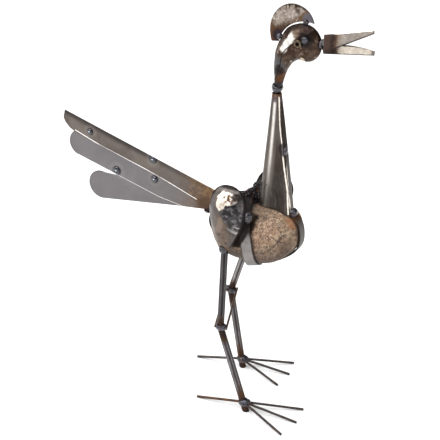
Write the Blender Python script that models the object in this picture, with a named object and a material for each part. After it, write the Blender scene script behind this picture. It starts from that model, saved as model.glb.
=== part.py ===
"""Roadrunner garden sculpture, welded from scrap steel round a river stone.

The bird heads along +X, its left side is +Y and +Z is up. It stands on the
flat ends of its two shins, with its eight toe tips on the floor beside them.
All lengths are in metres and all angles in degrees.
"""
import math

import bmesh
import bpy
import numpy as np

# Fits
FIT_GAP = 0.0003
SEAT_GAP = 0.0005

# Stone body
STONE_LENGTH = 0.175
STONE_WIDTH = 0.120
STONE_HEIGHT = 0.1165
STONE_MIDDLE_X = 0.0190
STONE_MIDDLE_Z = 0.3270
STONE_ROUNDING = 9.0
# Worn faces of the stone: azimuth, elevation, reach as a share of the half size
STONE_FACES = (
    (0, 0, 1.00), (180, 0, 1.00), (90, 0, 1.00), (-90, 0, 1.00), (0, 90, 1.01), (0, -90, 0.855),
    (40, 0, 1.03), (-40, 0, 1.05), (140, 0, 0.98), (-140, 0, 0.95),
    (0, 45, 1.19), (180, 45, 0.99), (90, 45, 1.02), (-90, 45, 1.06),
    (0, -45, 0.85), (180, -45, 0.80), (90, -45, 0.94), (-90, -45, 0.93),
)

# Flat straps
STRAP_WIDTH = 0.019
STRAP_THICKNESS = 0.003
STRAP_STATIONS = 44
HOOP_MIDDLE_X = 0.0160
HOOP_YAW = 15.5
HOOP_TILT = -9.0
HOOP_SLACK = 0.0006
HOOP_SHOULDER = 0.0030

# Neck, rolled from sheet
SHEET = 0.0016
NECK_FOOT_REAR_X = 0.0263
NECK_FOOT_LENGTH = 0.0605
NECK_FOOT_WIDTH = 0.026
NECK_TOP_X = 0.0545
NECK_TOP_Z = 0.588
NECK_TOP_DIAMETER = 0.0162
NECK_CORNER = 0.004
NECK_FOOT_GAP = 0.0006
NECK_SEAM_TURN = -12.0
NECK_LAP_SHARE = 0.055
NECK_LEVELS = 8

# Head
HEAD_DIAMETER = 0.0644
HEAD_THICKNESS = 0.030
HEAD_AHEAD = 0.0450
HEAD_RISE = 0.0916
HEAD_PITCH = 22.0
THROAT_DIAMETER = 0.0136
THROAT_FILL = 1.75
THROAT_LEAN = 0.078
NAPE_FILL = 0.93
NAPE_SWELL = 0.25

# Crest, a half moon of plate
CREST_THICKNESS = 0.003
CREST_PITCH = 27.2
CREST_BACK = 0.0195
CREST_RISE = 0.0200
# Its hand-cut rim: angle from its own level line, and distance from its middle
CREST_RIM = ((-7, 0.0392), (12, 0.0407), (26, 0.0414), (41, 0.0414), (58, 0.0416), (73, 0.0412),
             (93, 0.0402), (113, 0.0392), (133, 0.0388), (154, 0.0394), (172, 0.0410), (187, 0.0438))
CREST_BITE_RADIUS = 0.0497
CREST_BITE_AHEAD = 0.0058
CREST_BITE_DROP = 0.0417
CREST_BITE_SPAN = (140.0, 50.5)

# Beak, two folded plates
BEAK_PLATE = 0.0015
BEAK_LENGTH = 0.0835
BEAK_BASE_HEIGHT = 0.0322
BEAK_BASE_WIDTH = 0.022
BEAK_BASE_SLANT = 0.0050
BEAK_TIP_HEIGHT = 0.0078
BEAK_TIP_WIDTH = 0.006
BEAK_RISE = 13.5
LOWER_BEAK_RISE = 7.3
LOWER_BEAK_WIDTH = 0.0094
LOWER_BEAK_HEIGHT = 0.0165

# Eyes, plain nuts
NUT_ACROSS = 0.0118
NUT_BORE = 0.0062
NUT_THICKNESS = 0.0042
EYE_SHIFT_X = -0.0024
EYE_SHIFT_Z = 0.0030

# Wings, beaten shells
WING_HEIGHT = 0.1215
WING_WIDTH = 0.070
WING_DEPTH = 0.018
WING_EGG = 0.40
WING_LEAN_INWARD = 6.0
WING_STANDOFF = 0.0056
WING_LIFT = 0.0016

# Tail, three blades of plate
BLADE = 0.0016
TAIL_PITCH = 17.0
UPPER_BLADE_LENGTH = 0.3255
UPPER_BLADE_WIDTH = 0.0335
TAIL_ROOT_X = -0.0546
TAIL_ROOT_Z = 0.3881
MIDDLE_BLADE_END = 0.0255
MIDDLE_BLADE_X = -0.3345
MIDDLE_BLADE_Z = 0.4235
TAIL_ROOT_DROP = 0.0404
LOWER_BLADE_END = 0.0270
LOWER_BLADE_X = -0.2958
LOWER_BLADE_Z = 0.3487
# Inner ends of the lower two blades: how far back from the tail's root, and how far below it
MIDDLE_BLADE_EDGE = ((0.1205, 0.0366), (0.0715, 0.0450), (0.0250, TAIL_ROOT_DROP),
                     (0.0, 0.0300), (0.0, 0.0080))
LOWER_BLADE_EDGE = ((0.0280, TAIL_ROOT_DROP), (0.0, 0.0370), (0.0, 0.0140))
PLUG_HEIGHT = 0.0026
# Domed plugs of weld: which blade, x, z and diameter
TAIL_PLUGS = (
    ("tip", 0, -0.3131, 0.4503, 0.0115), ("edge", 0, -0.1828, 0.4225, 0.0125),
    ("middle", 1, -0.1818, 0.3838, 0.0125), ("lower", 1, -0.2608, 0.3845, 0.0150),
)

# Lumps of weld: their half sizes along x, y and z, and how far they sit from what they join
CREST_REAR_WELD = (0.0062, 0.0060, 0.0058)
CREST_REAR_WELD_X = -0.0425
CREST_REAR_WELD_Z = 0.0050
CREST_FRONT_WELD = (0.0058, 0.0058, 0.0056)
CREST_FRONT_WELD_X = 0.0030
CREST_FRONT_WELD_Z = 0.0350
BEAK_WELD = (0.0070, 0.0085, 0.0092)
BEAK_WELD_BACK = 0.0020
BEAK_WELD_RISE = 0.0025
EYE_WELD = (0.0064, 0.0048, 0.0064)
EYE_WELD_AHEAD = 0.0104
EYE_WELD_RISE = 0.0070
THROAT_WELD = (0.0104, 0.0106, 0.0098)
THROAT_WELD_RISE = 0.0095
SEAM_WELD = (0.0052, 0.0056, 0.0095)
SEAM_WELD_LEVEL = 0.53
BREAST_WELD = (0.0066, 0.0105, 0.0086)
BREAST_WELD_AHEAD = 0.0042
BREAST_WELD_RISE = 0.0034
BREAST_WELD_ASIDE = 0.0010
BACK_WELD_THICKNESS = 0.012
BACK_WELD_LENGTH = 0.048
BACK_WELD_HEIGHT = 0.043
BACK_WELD_SEAT = 0.006
# Steps of its top, as shares of its length and height, from the neck backwards
BACK_WELD_STEPS = ((0.98, 1.00), (0.86, 0.84), (0.74, 0.72), (0.66, 0.60), (0.50, 0.52), (0.38, 0.38),
                   (0.20, 0.33), (0.0, 0.25))
TAIL_ROOT_WELD = (0.0085, 0.0070, 0.0060)
TAIL_ROOT_WELD_BACK = 0.0200
WING_WELD = (0.0085, 0.0085, 0.0115)
WING_WELD_Y = 0.0575
WING_WELD_Z = 0.3820
HIP_WELD = (0.0080, 0.0068, 0.0088)
HIP_WELD_RISE = 0.0060
HIP_WELD_OUT = 0.0028
KNEE_WELD = (0.0128, 0.0088, 0.0085)
KNEE_WELD_RISE = 0.0015
FOOT_WELD = (0.0130, 0.0103, 0.0086)
FOOT_WELD_AHEAD = 0.0022

# Legs of round bar
LEG_BAR = 0.0127
HIP_OFFSET = 0.004
HIP_Z = 0.3110
KNEE_Z = 0.1590
RIGHT_LEG = {"hip": -0.0079, "knee": -0.0156, "foot": 0.0358, "turn": 2.0, "toe": 0.0977,
             "wing_lean": 3.6, "wing_weld": 0.0335}
LEFT_LEG = {"hip": -0.0126, "knee": -0.0618, "foot": -0.0358, "turn": 7.1, "toe": 0.0925,
            "wing_lean": 27.0, "wing_weld": -0.0080}

# Toes and knee braces of thin rod
TOE_ROD = 0.0048
TOE_JOINT_Z = 0.0170
TOE_ROOT = 0.0125
BACK_TOE_ROOT = 0.0082
# Toe name, angle from the foot's heading, reach as a share of the foot's toe length
TOES = (("inner", 26.1, 1.06), ("middle", 1.4, 1.00), ("outer", -26.1, 1.00), ("back", -179.5, 1.00))
BRACE_ROD = 0.0042
BRACE_OVERRUN = 0.0012
BRACE_LIFT = 0.0030
FRONT_BRACE_STAND = 0.0025

# Facets
CREST_RIM_POINTS = 25
CREST_BITE_POINTS = 13
ROD_SIDES = 14
THIN_ROD_SIDES = 10
WELD_SIDES = 10
WELD_RINGS = 6

FORWARD = np.array([1.0, 0.0, 0.0])
LEFT = np.array([0.0, 1.0, 0.0])
UP = np.array([0.0, 0.0, 1.0])
SIDES = {"right": -1.0, "left": 1.0}
LEGS = {"right": RIGHT_LEG, "left": LEFT_LEG}

STONE_HALF = np.array([STONE_LENGTH, STONE_WIDTH, STONE_HEIGHT]) / 2
STONE_MIDDLE = np.array([STONE_MIDDLE_X, 0.0, STONE_MIDDLE_Z])
LEG_Y = STONE_WIDTH / 2 + HIP_OFFSET
NECK_FOOT_FRONT_X = NECK_FOOT_REAR_X + NECK_FOOT_LENGTH
HEAD_X = NECK_TOP_X + HEAD_AHEAD
HEAD_Z = NECK_TOP_Z + HEAD_RISE
THROAT_FOOT_Z = NECK_TOP_Z + SEAT_GAP
CREST_X = HEAD_X - CREST_BACK
CREST_Z = HEAD_Z + CREST_RISE


def unit(vector):
    """Vector of length one along the given one."""
    vector = np.asarray(vector, dtype=float)
    return vector / np.linalg.norm(vector)


def direction(azimuth, elevation):
    """Unit vector at an azimuth from +X and an elevation from the floor."""
    a = math.radians(azimuth)
    e = math.radians(elevation)
    return np.array([math.cos(a) * math.cos(e), math.sin(a) * math.cos(e), math.sin(e)])


def material(name, colour, roughness, metallic):
    """Plain surface with the piece's own colour and sheen."""
    finish = bpy.data.materials.new(name)
    finish.use_nodes = True
    shader = finish.node_tree.nodes["Principled BSDF"]
    shader.inputs["Base Color"].default_value = (*colour, 1.0)
    shader.inputs["Roughness"].default_value = roughness
    shader.inputs["Metallic"].default_value = metallic
    return finish


FINISHES = {
    "stone": ((0.42, 0.30, 0.20), 0.85, 0.0),
    "plate": ((0.22, 0.20, 0.19), 0.40, 1.0),
    "tinted": ((0.17, 0.12, 0.09), 0.45, 1.0),
    "beaten": ((0.30, 0.26, 0.22), 0.28, 1.0),
    "bar": ((0.17, 0.16, 0.16), 0.35, 1.0),
    "thin": ((0.10, 0.08, 0.07), 0.50, 1.0),
    "weld": ((0.08, 0.08, 0.10), 0.35, 1.0),
}


def add_piece(name, points, faces, finish, cutter=False):
    """Add one closed body; a cutter only shapes its neighbours."""
    mesh = bpy.data.meshes.new(name)
    mesh.from_pydata([tuple(p) for p in points], [], [tuple(f) for f in faces])
    shape = bmesh.new()
    shape.from_mesh(mesh)
    bmesh.ops.recalc_face_normals(shape, faces=shape.faces)
    shape.to_mesh(mesh)
    shape.free()
    mesh.shade_smooth()
    mesh.set_sharp_from_angle(angle=math.radians(35))
    piece = bpy.data.objects.new(name, mesh)
    bpy.context.scene.collection.objects.link(piece)
    if cutter:
        piece.display_type = "WIRE"
        piece.hide_render = True
    else:
        mesh.materials.append(material(name, *FINISHES[finish]))
    return piece


def cut_away(piece, cutters):
    """Take the cutters' shapes out of a piece."""
    for cutter in cutters:
        cut = piece.modifiers.new("clear of " + cutter.name, "BOOLEAN")
        cut.operation = "DIFFERENCE"
        cut.solver = "EXACT"
        cut.object = cutter


def skin_rings(rings):
    """Faces over equal rings of points, with the first and last ring filled in."""
    count = len(rings[0])
    faces = []
    for level in range(len(rings) - 1):
        for i in range(count):
            a = level * count + i
            b = level * count + (i + 1) % count
            faces.append((a, b, b + count, a + count))
    last = (len(rings) - 1) * count
    faces.append(tuple(range(count)))
    faces.append(tuple(range(last, last + count)))
    points = [p for ring in rings for p in ring]
    return points, faces


def stone_gauge(offset):
    """One on the stone's surface, less inside; offset is measured from its middle."""
    scaled = np.asarray(offset) / STONE_HALF
    total = 0.0
    for azimuth, elevation, reach in STONE_FACES:
        push = np.maximum(0.0, scaled @ direction(azimuth, elevation)) / reach
        total = total + push ** STONE_ROUNDING
    return total ** (1.0 / STONE_ROUNDING)


def stone_reach(start, heading):
    """Distance from a point inside the stone to its surface along a heading."""
    near = 0.0
    far = STONE_LENGTH
    for _ in range(40):
        middle = (near + far) / 2
        if stone_gauge(start + heading * middle - STONE_MIDDLE) > 1.0:
            far = middle
        else:
            near = middle
    return far


def stone_top(x, y):
    """Height of the stone's top above the floor at a place inside its outline."""
    start = np.array([x, y, STONE_MIDDLE_Z])
    return STONE_MIDDLE_Z + stone_reach(start, UP)


def stone_shape(name, grow=0.0, cutter=False, facets=4):
    """The stone, or the same shape grown by a clearance."""
    ball = bmesh.new()
    bmesh.ops.create_icosphere(ball, subdivisions=facets, radius=1.0)
    points = []
    for vertex in ball.verts:
        heading = np.array(vertex.co)
        heading = unit(heading)
        reach = 1.0 / stone_gauge(heading)
        points.append(STONE_MIDDLE + heading * (reach + grow))
    faces = [tuple(v.index for v in face.verts) for face in ball.faces]
    ball.free()
    return add_piece(name, points, faces, "stone", cutter)


def hull(points):
    """Corners of the tightest band round flat points, counterclockwise."""
    ordered = sorted(map(tuple, points))

    def half(sequence):
        chain = []
        for p in sequence:
            while len(chain) > 1 and turn(chain[-2], chain[-1], p) <= 0:
                chain.pop()
            chain.append(p)
        return chain[:-1]

    def turn(a, b, c):
        return (b[0] - a[0]) * (c[1] - a[1]) - (b[1] - a[1]) * (c[0] - a[0])

    return np.array(half(ordered) + half(ordered[::-1]))


def even_points(path, count, closed):
    """Points at even steps along a flat path."""
    path = np.asarray(path)
    if closed:
        path = np.vstack([path, path[:1]])
    steps = np.linalg.norm(np.diff(path, axis=0), axis=1)
    travel = np.concatenate([[0.0], np.cumsum(steps)])
    places = np.linspace(0.0, travel[-1], count + 1 if closed else count)
    if closed:
        places = places[:-1]
    return np.column_stack([np.interp(places, travel, path[:, k]) for k in range(path.shape[1])])


def offset_path(path, distance, closed):
    """The path moved outwards, away from the inside of its counterclockwise run."""
    if closed:
        ahead = np.roll(path, -1, axis=0)
        behind = np.roll(path, 1, axis=0)
    else:
        ahead = np.vstack([path[1:], 2 * path[-1:] - path[-2:-1]])
        behind = np.vstack([2 * path[:1] - path[1:2], path[:-1]])
    along = ahead - behind
    along = along / np.linalg.norm(along, axis=1)[:, None]
    return path + distance * np.column_stack([along[:, 1], -along[:, 0]])


def section_points(origin, across, up, side, half_width, extra=None):
    """Widest outline of the stone under a strap that lies in the plane of across and up."""
    found = []
    for k in range(180):
        angle = 2 * math.pi * k / 180
        heading = math.cos(angle) * across + math.sin(angle) * up
        for shift in (-half_width, 0.0, half_width):
            reach = stone_reach(origin + side * shift, heading)
            if extra is not None:
                reach += extra(origin + side * shift + heading * reach)
            found.append((reach * math.cos(angle), reach * math.sin(angle)))
    return hull(found)


def long_strap_path():
    """Inner path of the lengthwise strap, from the neck's front round the belly to its back."""
    outline = section_points(STONE_MIDDLE, FORWARD, UP, LEFT, STRAP_WIDTH / 2)
    outline = even_points(outline, 720, closed=True)
    outline = offset_path(outline, FIT_GAP * 1.5, closed=True)
    front = NECK_FOOT_FRONT_X + SHEET + 2 * SEAT_GAP - STONE_MIDDLE_X
    rear = NECK_FOOT_REAR_X - SHEET - 2 * SEAT_GAP - STONE_MIDDLE_X
    under_neck = (outline[:, 1] > 0) & (outline[:, 0] < front) & (outline[:, 0] > rear)
    first = int(np.argmax(np.roll(under_neck, 1) & ~under_neck))
    kept = np.roll(outline, -first, axis=0)
    kept = kept[:len(outline) - int(under_neck.sum())]
    # The run goes clockwise from the front, so it is turned to leave the stone inside
    return even_points(kept, STRAP_STATIONS, closed=False)


def strap_rings(path, grow, closed):
    """Rings of four corners, inner pair then outer pair, in the strap's own plane."""
    inner = offset_path(path, -grow, closed)
    outer = offset_path(path, STRAP_THICKNESS + grow, closed)
    half_width = STRAP_WIDTH / 2 + grow
    return inner, outer, half_width


def strap_solid(name, path, origin, across, up, side, grow=0.0, closed=False, cutter=False):
    """Flat bar bent along a path in the plane of across and up."""
    if not closed:
        path = path.copy()
        path[0] += unit(path[0] - path[1]) * grow
        path[-1] += unit(path[-1] - path[-2]) * grow
    inner, outer, half_width = strap_rings(path, grow, closed)
    points = []
    for near, far in zip(inner, outer):
        for flat, shift in ((near, -1), (near, 1), (far, 1), (far, -1)):
            points.append(origin + flat[0] * across + flat[1] * up + side * shift * half_width)
    faces = []
    stations = len(inner)
    last = stations if closed else stations - 1
    for s in range(last):
        a = 4 * s
        b = 4 * ((s + 1) % stations)
        for k in range(4):
            n = (k + 1) % 4
            faces.append((a + k, a + n, b + n, b + k))
    if not closed:
        faces.append((0, 1, 2, 3))
        end = 4 * (stations - 1)
        faces.append((end, end + 1, end + 2, end + 3))
    return add_piece(name, points, faces, "plate", cutter)


def hoop_frame():
    """Middle, across, up and side directions of the hoop round the stone's waist."""
    yaw = math.radians(HOOP_YAW)
    tilt = math.radians(HOOP_TILT)
    side = unit([math.cos(yaw) * math.cos(tilt), math.sin(yaw) * math.cos(tilt), -math.sin(tilt)])
    across = unit(np.cross(UP, side))
    up = np.cross(side, across)
    origin = np.array([HOOP_MIDDLE_X, 0.0, STONE_MIDDLE_Z])
    return origin, across, up, side


def over_long_strap(point):
    """Room that the hoop leaves for the lengthwise strap where it crosses it."""
    if abs(point[1]) < STRAP_WIDTH / 2 + HOOP_SHOULDER:
        return STRAP_THICKNESS + HOOP_SLACK
    return 0.0


def hoop_path():
    """Inner path of the hoop, drawn tight over the stone and the lengthwise strap."""
    origin, across, up, side = hoop_frame()
    outline = section_points(origin, across, up, side, STRAP_WIDTH / 2, over_long_strap)
    outline = even_points(outline, STRAP_STATIONS + 8, closed=True)
    return offset_path(outline, FIT_GAP * 2.0, closed=True)


def neck_section(level, grow=0.0):
    """Outline of the rolled sheet at a level from 0, its foot, to 1, its top."""
    rear = NECK_FOOT_REAR_X + level * (NECK_TOP_X - NECK_TOP_DIAMETER / 2 - NECK_FOOT_REAR_X)
    front = NECK_FOOT_FRONT_X + level * (NECK_TOP_X + NECK_TOP_DIAMETER / 2 - NECK_FOOT_FRONT_X)
    half = (NECK_FOOT_WIDTH + level * (NECK_TOP_DIAMETER - NECK_FOOT_WIDTH)) / 2 + grow
    rear -= grow
    front += grow
    corner = NECK_CORNER + (NECK_TOP_DIAMETER / 2 - NECK_CORNER) * level ** 2 + grow
    path = []
    # Front right corner, from the seam to the right flat side
    for a in np.linspace(NECK_SEAM_TURN, -90, 5)[:-1]:
        path.append((front - corner + corner * math.cos(math.radians(a)),
                     -half + corner + corner * math.sin(math.radians(a))))
    # Right flat side, back to the roll
    path += [(x, -half) for x in np.linspace(front - corner, rear + half, 7)]
    # Roll round the back
    for a in np.linspace(-90, -270, 13)[1:-1]:
        path.append((rear + half + half * math.cos(math.radians(a)), half * math.sin(math.radians(a))))
    # Left flat side
    path += [(x, half) for x in np.linspace(rear + half, front - corner, 7)]
    # Front with its two turned corners
    for a in np.linspace(90, 0, 5)[1:]:
        path.append((front - corner + corner * math.cos(math.radians(a)),
                     half - corner + corner * math.sin(math.radians(a))))
    return np.array(path)


def neck_foot(x, y):
    """Height of the neck's scribed foot over the stone."""
    reach_x = min(max(x, NECK_FOOT_REAR_X), NECK_FOOT_FRONT_X)
    return stone_top(reach_x, y) + NECK_FOOT_GAP


def neck_level_point(flat, level):
    """Point of the neck's surface; its foot follows the stone and its top is square."""
    foot = neck_foot(flat[0], flat[1])
    return (flat[0], flat[1], foot + level * (NECK_TOP_Z - foot))


def neck_hull(name, grow):
    """The neck's outer form, filled, for cutting its neighbours."""
    rings = []
    for step in range(NECK_LEVELS):
        level = step / (NECK_LEVELS - 1)
        section = neck_section(level, grow)
        rings.append([neck_level_point(p, level) for p in section])
    rings[0] = [(x, y, z - 4 * grow) for x, y, z in rings[0]]
    rings[-1] = [(x, y, z + grow) for x, y, z in rings[-1]]
    points, faces = skin_rings(rings)
    return add_piece(name, points, faces, "plate", cutter=True)


def neck():
    """Sheet rolled into a tall flattened cone, its free edge lapped over at the front right."""
    rings = []
    for step in range(NECK_LEVELS):
        level = step / (NECK_LEVELS - 1)
        outline = neck_section(level)
        closed = np.vstack([outline, outline[:1]])
        run = even_points(closed, 120, closed=False)
        lap = int(len(run) * NECK_LAP_SHARE)
        strip = np.vstack([run, run[1:lap]])
        keep = neck_stations(len(strip), lap)
        lift = np.zeros(len(strip))
        ramp = 3 * lap
        lift[:ramp] = (SHEET + SEAT_GAP) * np.clip(1.5 - np.arange(ramp) / (2 * lap), 0, 1)
        away = outward(strip)
        outer = strip + away * lift[:, None]
        inner = outer - away * SHEET
        ring = [outer[i] for i in keep] + [inner[i] for i in keep[::-1]]
        rings.append([neck_level_point(p, level) for p in ring])
    points, faces = skin_rings(rings)
    # The foot and the top are closed by short quads between the sheet's two sides
    faces = faces[:-2]
    count = len(rings[0])
    for base in (0, len(points) - count):
        for i in range(count // 2 - 1):
            faces.append((base + i, base + i + 1, base + count - 2 - i, base + count - 1 - i))
    return add_piece("neck", points, faces, "plate")


def neck_stations(count, lap):
    """Places kept along the strip: closer at the lap, the roll and the corners."""
    return sorted(set(list(range(0, count - 1, 4)) + [lap, count - 1]))


def outward(strip):
    """Directions out of a strip that runs clockwise seen from above."""
    along = np.gradient(strip, axis=0)
    along = along / np.linalg.norm(along, axis=1)[:, None]
    return np.column_stack([-along[:, 1], along[:, 0]])


def head_spine(t):
    """Middle line of the throat, from the neck's top at 0 to the head's middle at 1."""
    foot = np.array([NECK_TOP_X, THROAT_FOOT_Z])
    middle = np.array([HEAD_X, HEAD_Z])
    rise = HEAD_Z - NECK_TOP_Z
    pitch = math.radians(HEAD_PITCH)
    lower = foot + np.array([THROAT_LEAN, 0.44]) * rise
    upper = middle - np.array([math.cos(pitch), math.sin(pitch)]) * 0.46 * rise
    s = 1.0 - t
    return s ** 3 * foot + 3 * s * s * t * lower + 3 * s * t * t * upper + t ** 3 * middle


def head_shape(name, grow=0.0, cutter=False):
    """Beaten pod: a round flattened head that tails off into the throat, cut level on the neck."""
    radius = HEAD_DIAMETER / 2
    depth = HEAD_THICKNESS / 2
    throat = THROAT_DIAMETER / 2
    stations = []
    for t in np.linspace(0.0, 1.0, 11)[:-1]:
        centre = head_spine(t)
        along = unit(head_spine(t + 0.01) - head_spine(t - 0.01))
        width = throat + (radius * NAPE_FILL - throat) * t ** THROAT_FILL
        away = np.linalg.norm(centre - np.array([HEAD_X, HEAD_Z]))
        if away < radius:
            width = max(width, math.sqrt(radius ** 2 - away ** 2))
        thick = throat + (depth - throat) * math.sin(t * math.pi / 2)
        stations.append((centre, along, width, thick, 1.0 + NAPE_SWELL * math.sin(t * math.pi)))
    along = unit(head_spine(1.0) - head_spine(0.98))
    for a in (0, 18, 36, 52, 66, 77, 85):
        turn = math.radians(a)
        centre = head_spine(1.0) + along * radius * math.sin(turn)
        stations.append((centre, along, radius * math.cos(turn), depth * math.cos(turn), 1.0))
    rings = []
    for centre, along, width, thick, swell in stations:
        across = np.array([-along[1], along[0]])
        ring = []
        for k in range(20):
            a = 2 * math.pi * k / 20
            behind = width * swell if math.cos(a) > 0 else width
            flat = centre + across * (behind + grow) * math.cos(a)
            ring.append((flat[0], (thick + grow) * math.sin(a), max(flat[1], THROAT_FOOT_Z)))
        rings.append(ring)
    if grow:
        rings[0] = [(x, y, z - grow) for x, y, z in rings[0]]
        rings[-1] = [(x + grow, y, z + grow) for x, y, z in rings[-1]]
    points, faces = skin_rings(rings)
    return add_piece(name, points, faces, "beaten", cutter)


def plate_solid(name, outline, middle_y, thickness, finish, cutter=False):
    """Flat plate in a fore and aft plane, from its outline of x and z."""
    rings = []
    for y in (middle_y - thickness / 2, middle_y + thickness / 2):
        rings.append([(x, y, z) for x, z in outline])
    points, faces = skin_rings(rings)
    return add_piece(name, points, faces, finish, cutter)


def arc(middle, radius, start, end, count):
    """Points along a round stretch of an outline."""
    run = []
    for a in np.linspace(start, end, count):
        turn = math.radians(a)
        run.append((middle[0] + radius * math.cos(turn), middle[1] + radius * math.sin(turn)))
    return run


def crest_outline(grow=0.0):
    """Half moon: a hand-cut round rim with a round bite out of its lower side."""
    angles = [angle for angle, _ in CREST_RIM]
    reaches = [reach for _, reach in CREST_RIM]
    outer = []
    for a in np.linspace(angles[0], angles[-1], CREST_RIM_POINTS):
        turn = math.radians(a)
        reach = float(np.interp(a, angles, reaches)) + grow
        outer.append((reach * math.cos(turn), reach * math.sin(turn)))
    inner = arc((CREST_BITE_AHEAD, -CREST_BITE_DROP), CREST_BITE_RADIUS - grow, *CREST_BITE_SPAN,
                CREST_BITE_POINTS)
    pitch = math.radians(CREST_PITCH)
    turned = []
    for u, v in outer + inner:
        turned.append((CREST_X + u * math.cos(pitch) - v * math.sin(pitch),
                       CREST_Z + u * math.sin(pitch) + v * math.cos(pitch)))
    return turned


def beak_fold(name, ridge_base, ridge_tip, edge_points, plate):
    """Plate folded along its ridge: the ridge and each free edge as x, half width and z."""
    ridge = [ridge_base + (ridge_tip - ridge_base) * k / (len(edge_points) - 1)
             for k in range(len(edge_points))]
    rings = []
    for top, edge in zip(ridge, edge_points):
        edge_right = np.array([edge[0], -edge[1], edge[2]])
        edge_left = np.array([edge[0], edge[1], edge[2]])
        inward = unit(np.array([0.0, 0.0, edge[2] - top[2]]))
        slope = unit(edge_right - top)
        normal = unit(np.cross(slope, FORWARD))
        normal = normal if normal[1] < 0 else -normal
        mirror = normal * np.array([1.0, -1.0, 1.0])
        ridge_drop = plate / max(0.35, abs(normal[1]))
        rings.append([top, edge_right, edge_right - normal * plate,
                      top + inward * ridge_drop * 1.4, edge_left - mirror * plate, edge_left])
    points, faces = skin_rings(rings)
    return add_piece(name, points, faces, "tinted")


def beak_base_x():
    """Where both beak plates start, just clear of the head."""
    return HEAD_X + HEAD_DIAMETER / 2 + SEAT_GAP + BEAK_PLATE


def upper_beak():
    """Upper plate: ridge on top, sides open below, blunt at its tip."""
    base_x = beak_base_x()
    rise = math.tan(math.radians(BEAK_RISE))
    base_z = HEAD_Z + 0.59 * BEAK_BASE_HEIGHT
    ridge_base = np.array([base_x, 0.0, base_z])
    ridge_tip = np.array([base_x + BEAK_LENGTH, 0.0, base_z + rise * BEAK_LENGTH])
    edges = []
    for k in range(5):
        s = k / 4
        x = base_x + s * BEAK_LENGTH + (1 - s) * BEAK_BASE_SLANT
        half = (BEAK_BASE_WIDTH + s * (BEAK_TIP_WIDTH - BEAK_BASE_WIDTH)) / 2
        height = BEAK_BASE_HEIGHT + s * (BEAK_TIP_HEIGHT - BEAK_BASE_HEIGHT)
        edges.append((x, half, base_z + rise * s * BEAK_LENGTH - height * 0.82))
    return beak_fold("upper_beak", ridge_base, ridge_tip, edges, BEAK_PLATE)


def lower_beak():
    """Lower plate: ridge below, sides open above, held inside the upper plate at its base."""
    base_x = beak_base_x()
    rise = math.tan(math.radians(LOWER_BEAK_RISE))
    base_z = HEAD_Z - 0.41 * BEAK_BASE_HEIGHT
    ridge_base = np.array([base_x, 0.0, base_z])
    ridge_tip = np.array([base_x + BEAK_LENGTH * 1.03, 0.0, base_z + rise * BEAK_LENGTH])
    edges = []
    for k in range(7):
        s = k / 6
        swell = 0.62 + 0.9 * s - 1.16 * s ** 2
        x = base_x + s * BEAK_LENGTH * 1.03
        half = LOWER_BEAK_WIDTH / 2 * (1.0 - 0.45 * s)
        edges.append((x, half, base_z + rise * s * BEAK_LENGTH + LOWER_BEAK_HEIGHT * swell * 1.15))
    return beak_fold("lower_beak", ridge_base, ridge_tip, edges, BEAK_PLATE)


def eye_place(side):
    """Middle of an eye nut's back face, on the head's flank."""
    return np.array([HEAD_X + EYE_SHIFT_X, side * (HEAD_THICKNESS / 2 + FIT_GAP), HEAD_Z + EYE_SHIFT_Z])


def eye_nut(name, side, grow=0.0, cutter=False):
    """Six-sided nut laid flat against the head, its bore showing as the pupil."""
    back = eye_place(side) - LEFT * side * grow
    rings = []
    outer = NUT_ACROSS / math.sqrt(3) + grow
    bore = NUT_BORE / 2
    count = 24
    for depth in (0.0, NUT_THICKNESS + 2 * grow):
        ring = []
        for k in range(count):
            a = 2 * math.pi * k / count
            spread = (a + math.pi / 6) % (math.pi / 3) - math.pi / 6
            reach = outer * math.cos(math.pi / 6) / math.cos(spread)
            ring.append(back + LEFT * side * depth + reach * (FORWARD * math.cos(a) + UP * math.sin(a)))
        rings.append(ring)
    if cutter:
        points, faces = skin_rings(rings)
        return add_piece(name, points, faces, "tinted", cutter)
    for depth in (NUT_THICKNESS, 0.0):
        ring = []
        for k in range(count):
            a = 2 * math.pi * k / count
            ring.append(back + LEFT * side * depth + bore * (FORWARD * math.cos(a) + UP * math.sin(a)))
        rings.append(ring)
    points = [p for ring in rings for p in ring]
    faces = []
    for level in range(4):
        for k in range(count):
            a = level * count + k
            b = level * count + (k + 1) % count
            c = ((level + 1) % 4) * count + (k + 1) % count
            d = ((level + 1) % 4) * count + k
            faces.append((a, b, c, d))
    return add_piece(name, points, faces, "tinted", cutter)


def wing_frame(side, leg):
    """Lower tip of a wing and its up, forward and outward directions."""
    lean = math.tan(math.radians(leg["wing_lean"]))
    inward = math.tan(math.radians(WING_LEAN_INWARD))
    up = unit([lean, -side * inward, 1.0])
    forward = unit(FORWARD - up * up[0])
    out = side * np.cross(up, forward)
    tip = np.array([leg["hip"], side * (LEG_Y + WING_STANDOFF), HIP_Z + WING_LIFT])
    return tip, up, forward, out


def wing_point(ring, angle):
    """Flat place and height of a wing's outer face; ring runs from 0, its crown, to 1, its rim."""
    crown = 0.60 * WING_HEIGHT
    rim_up = WING_HEIGHT * (1 - math.cos(angle)) / 2
    rim_forward = WING_WIDTH / 2 * math.sin(angle) * (1 - WING_EGG * math.cos(angle)) / 1.07
    height = WING_DEPTH * (1 - ring ** 2) ** 0.72
    return ring * rim_forward, crown + ring * (rim_up - crown), height


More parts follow.
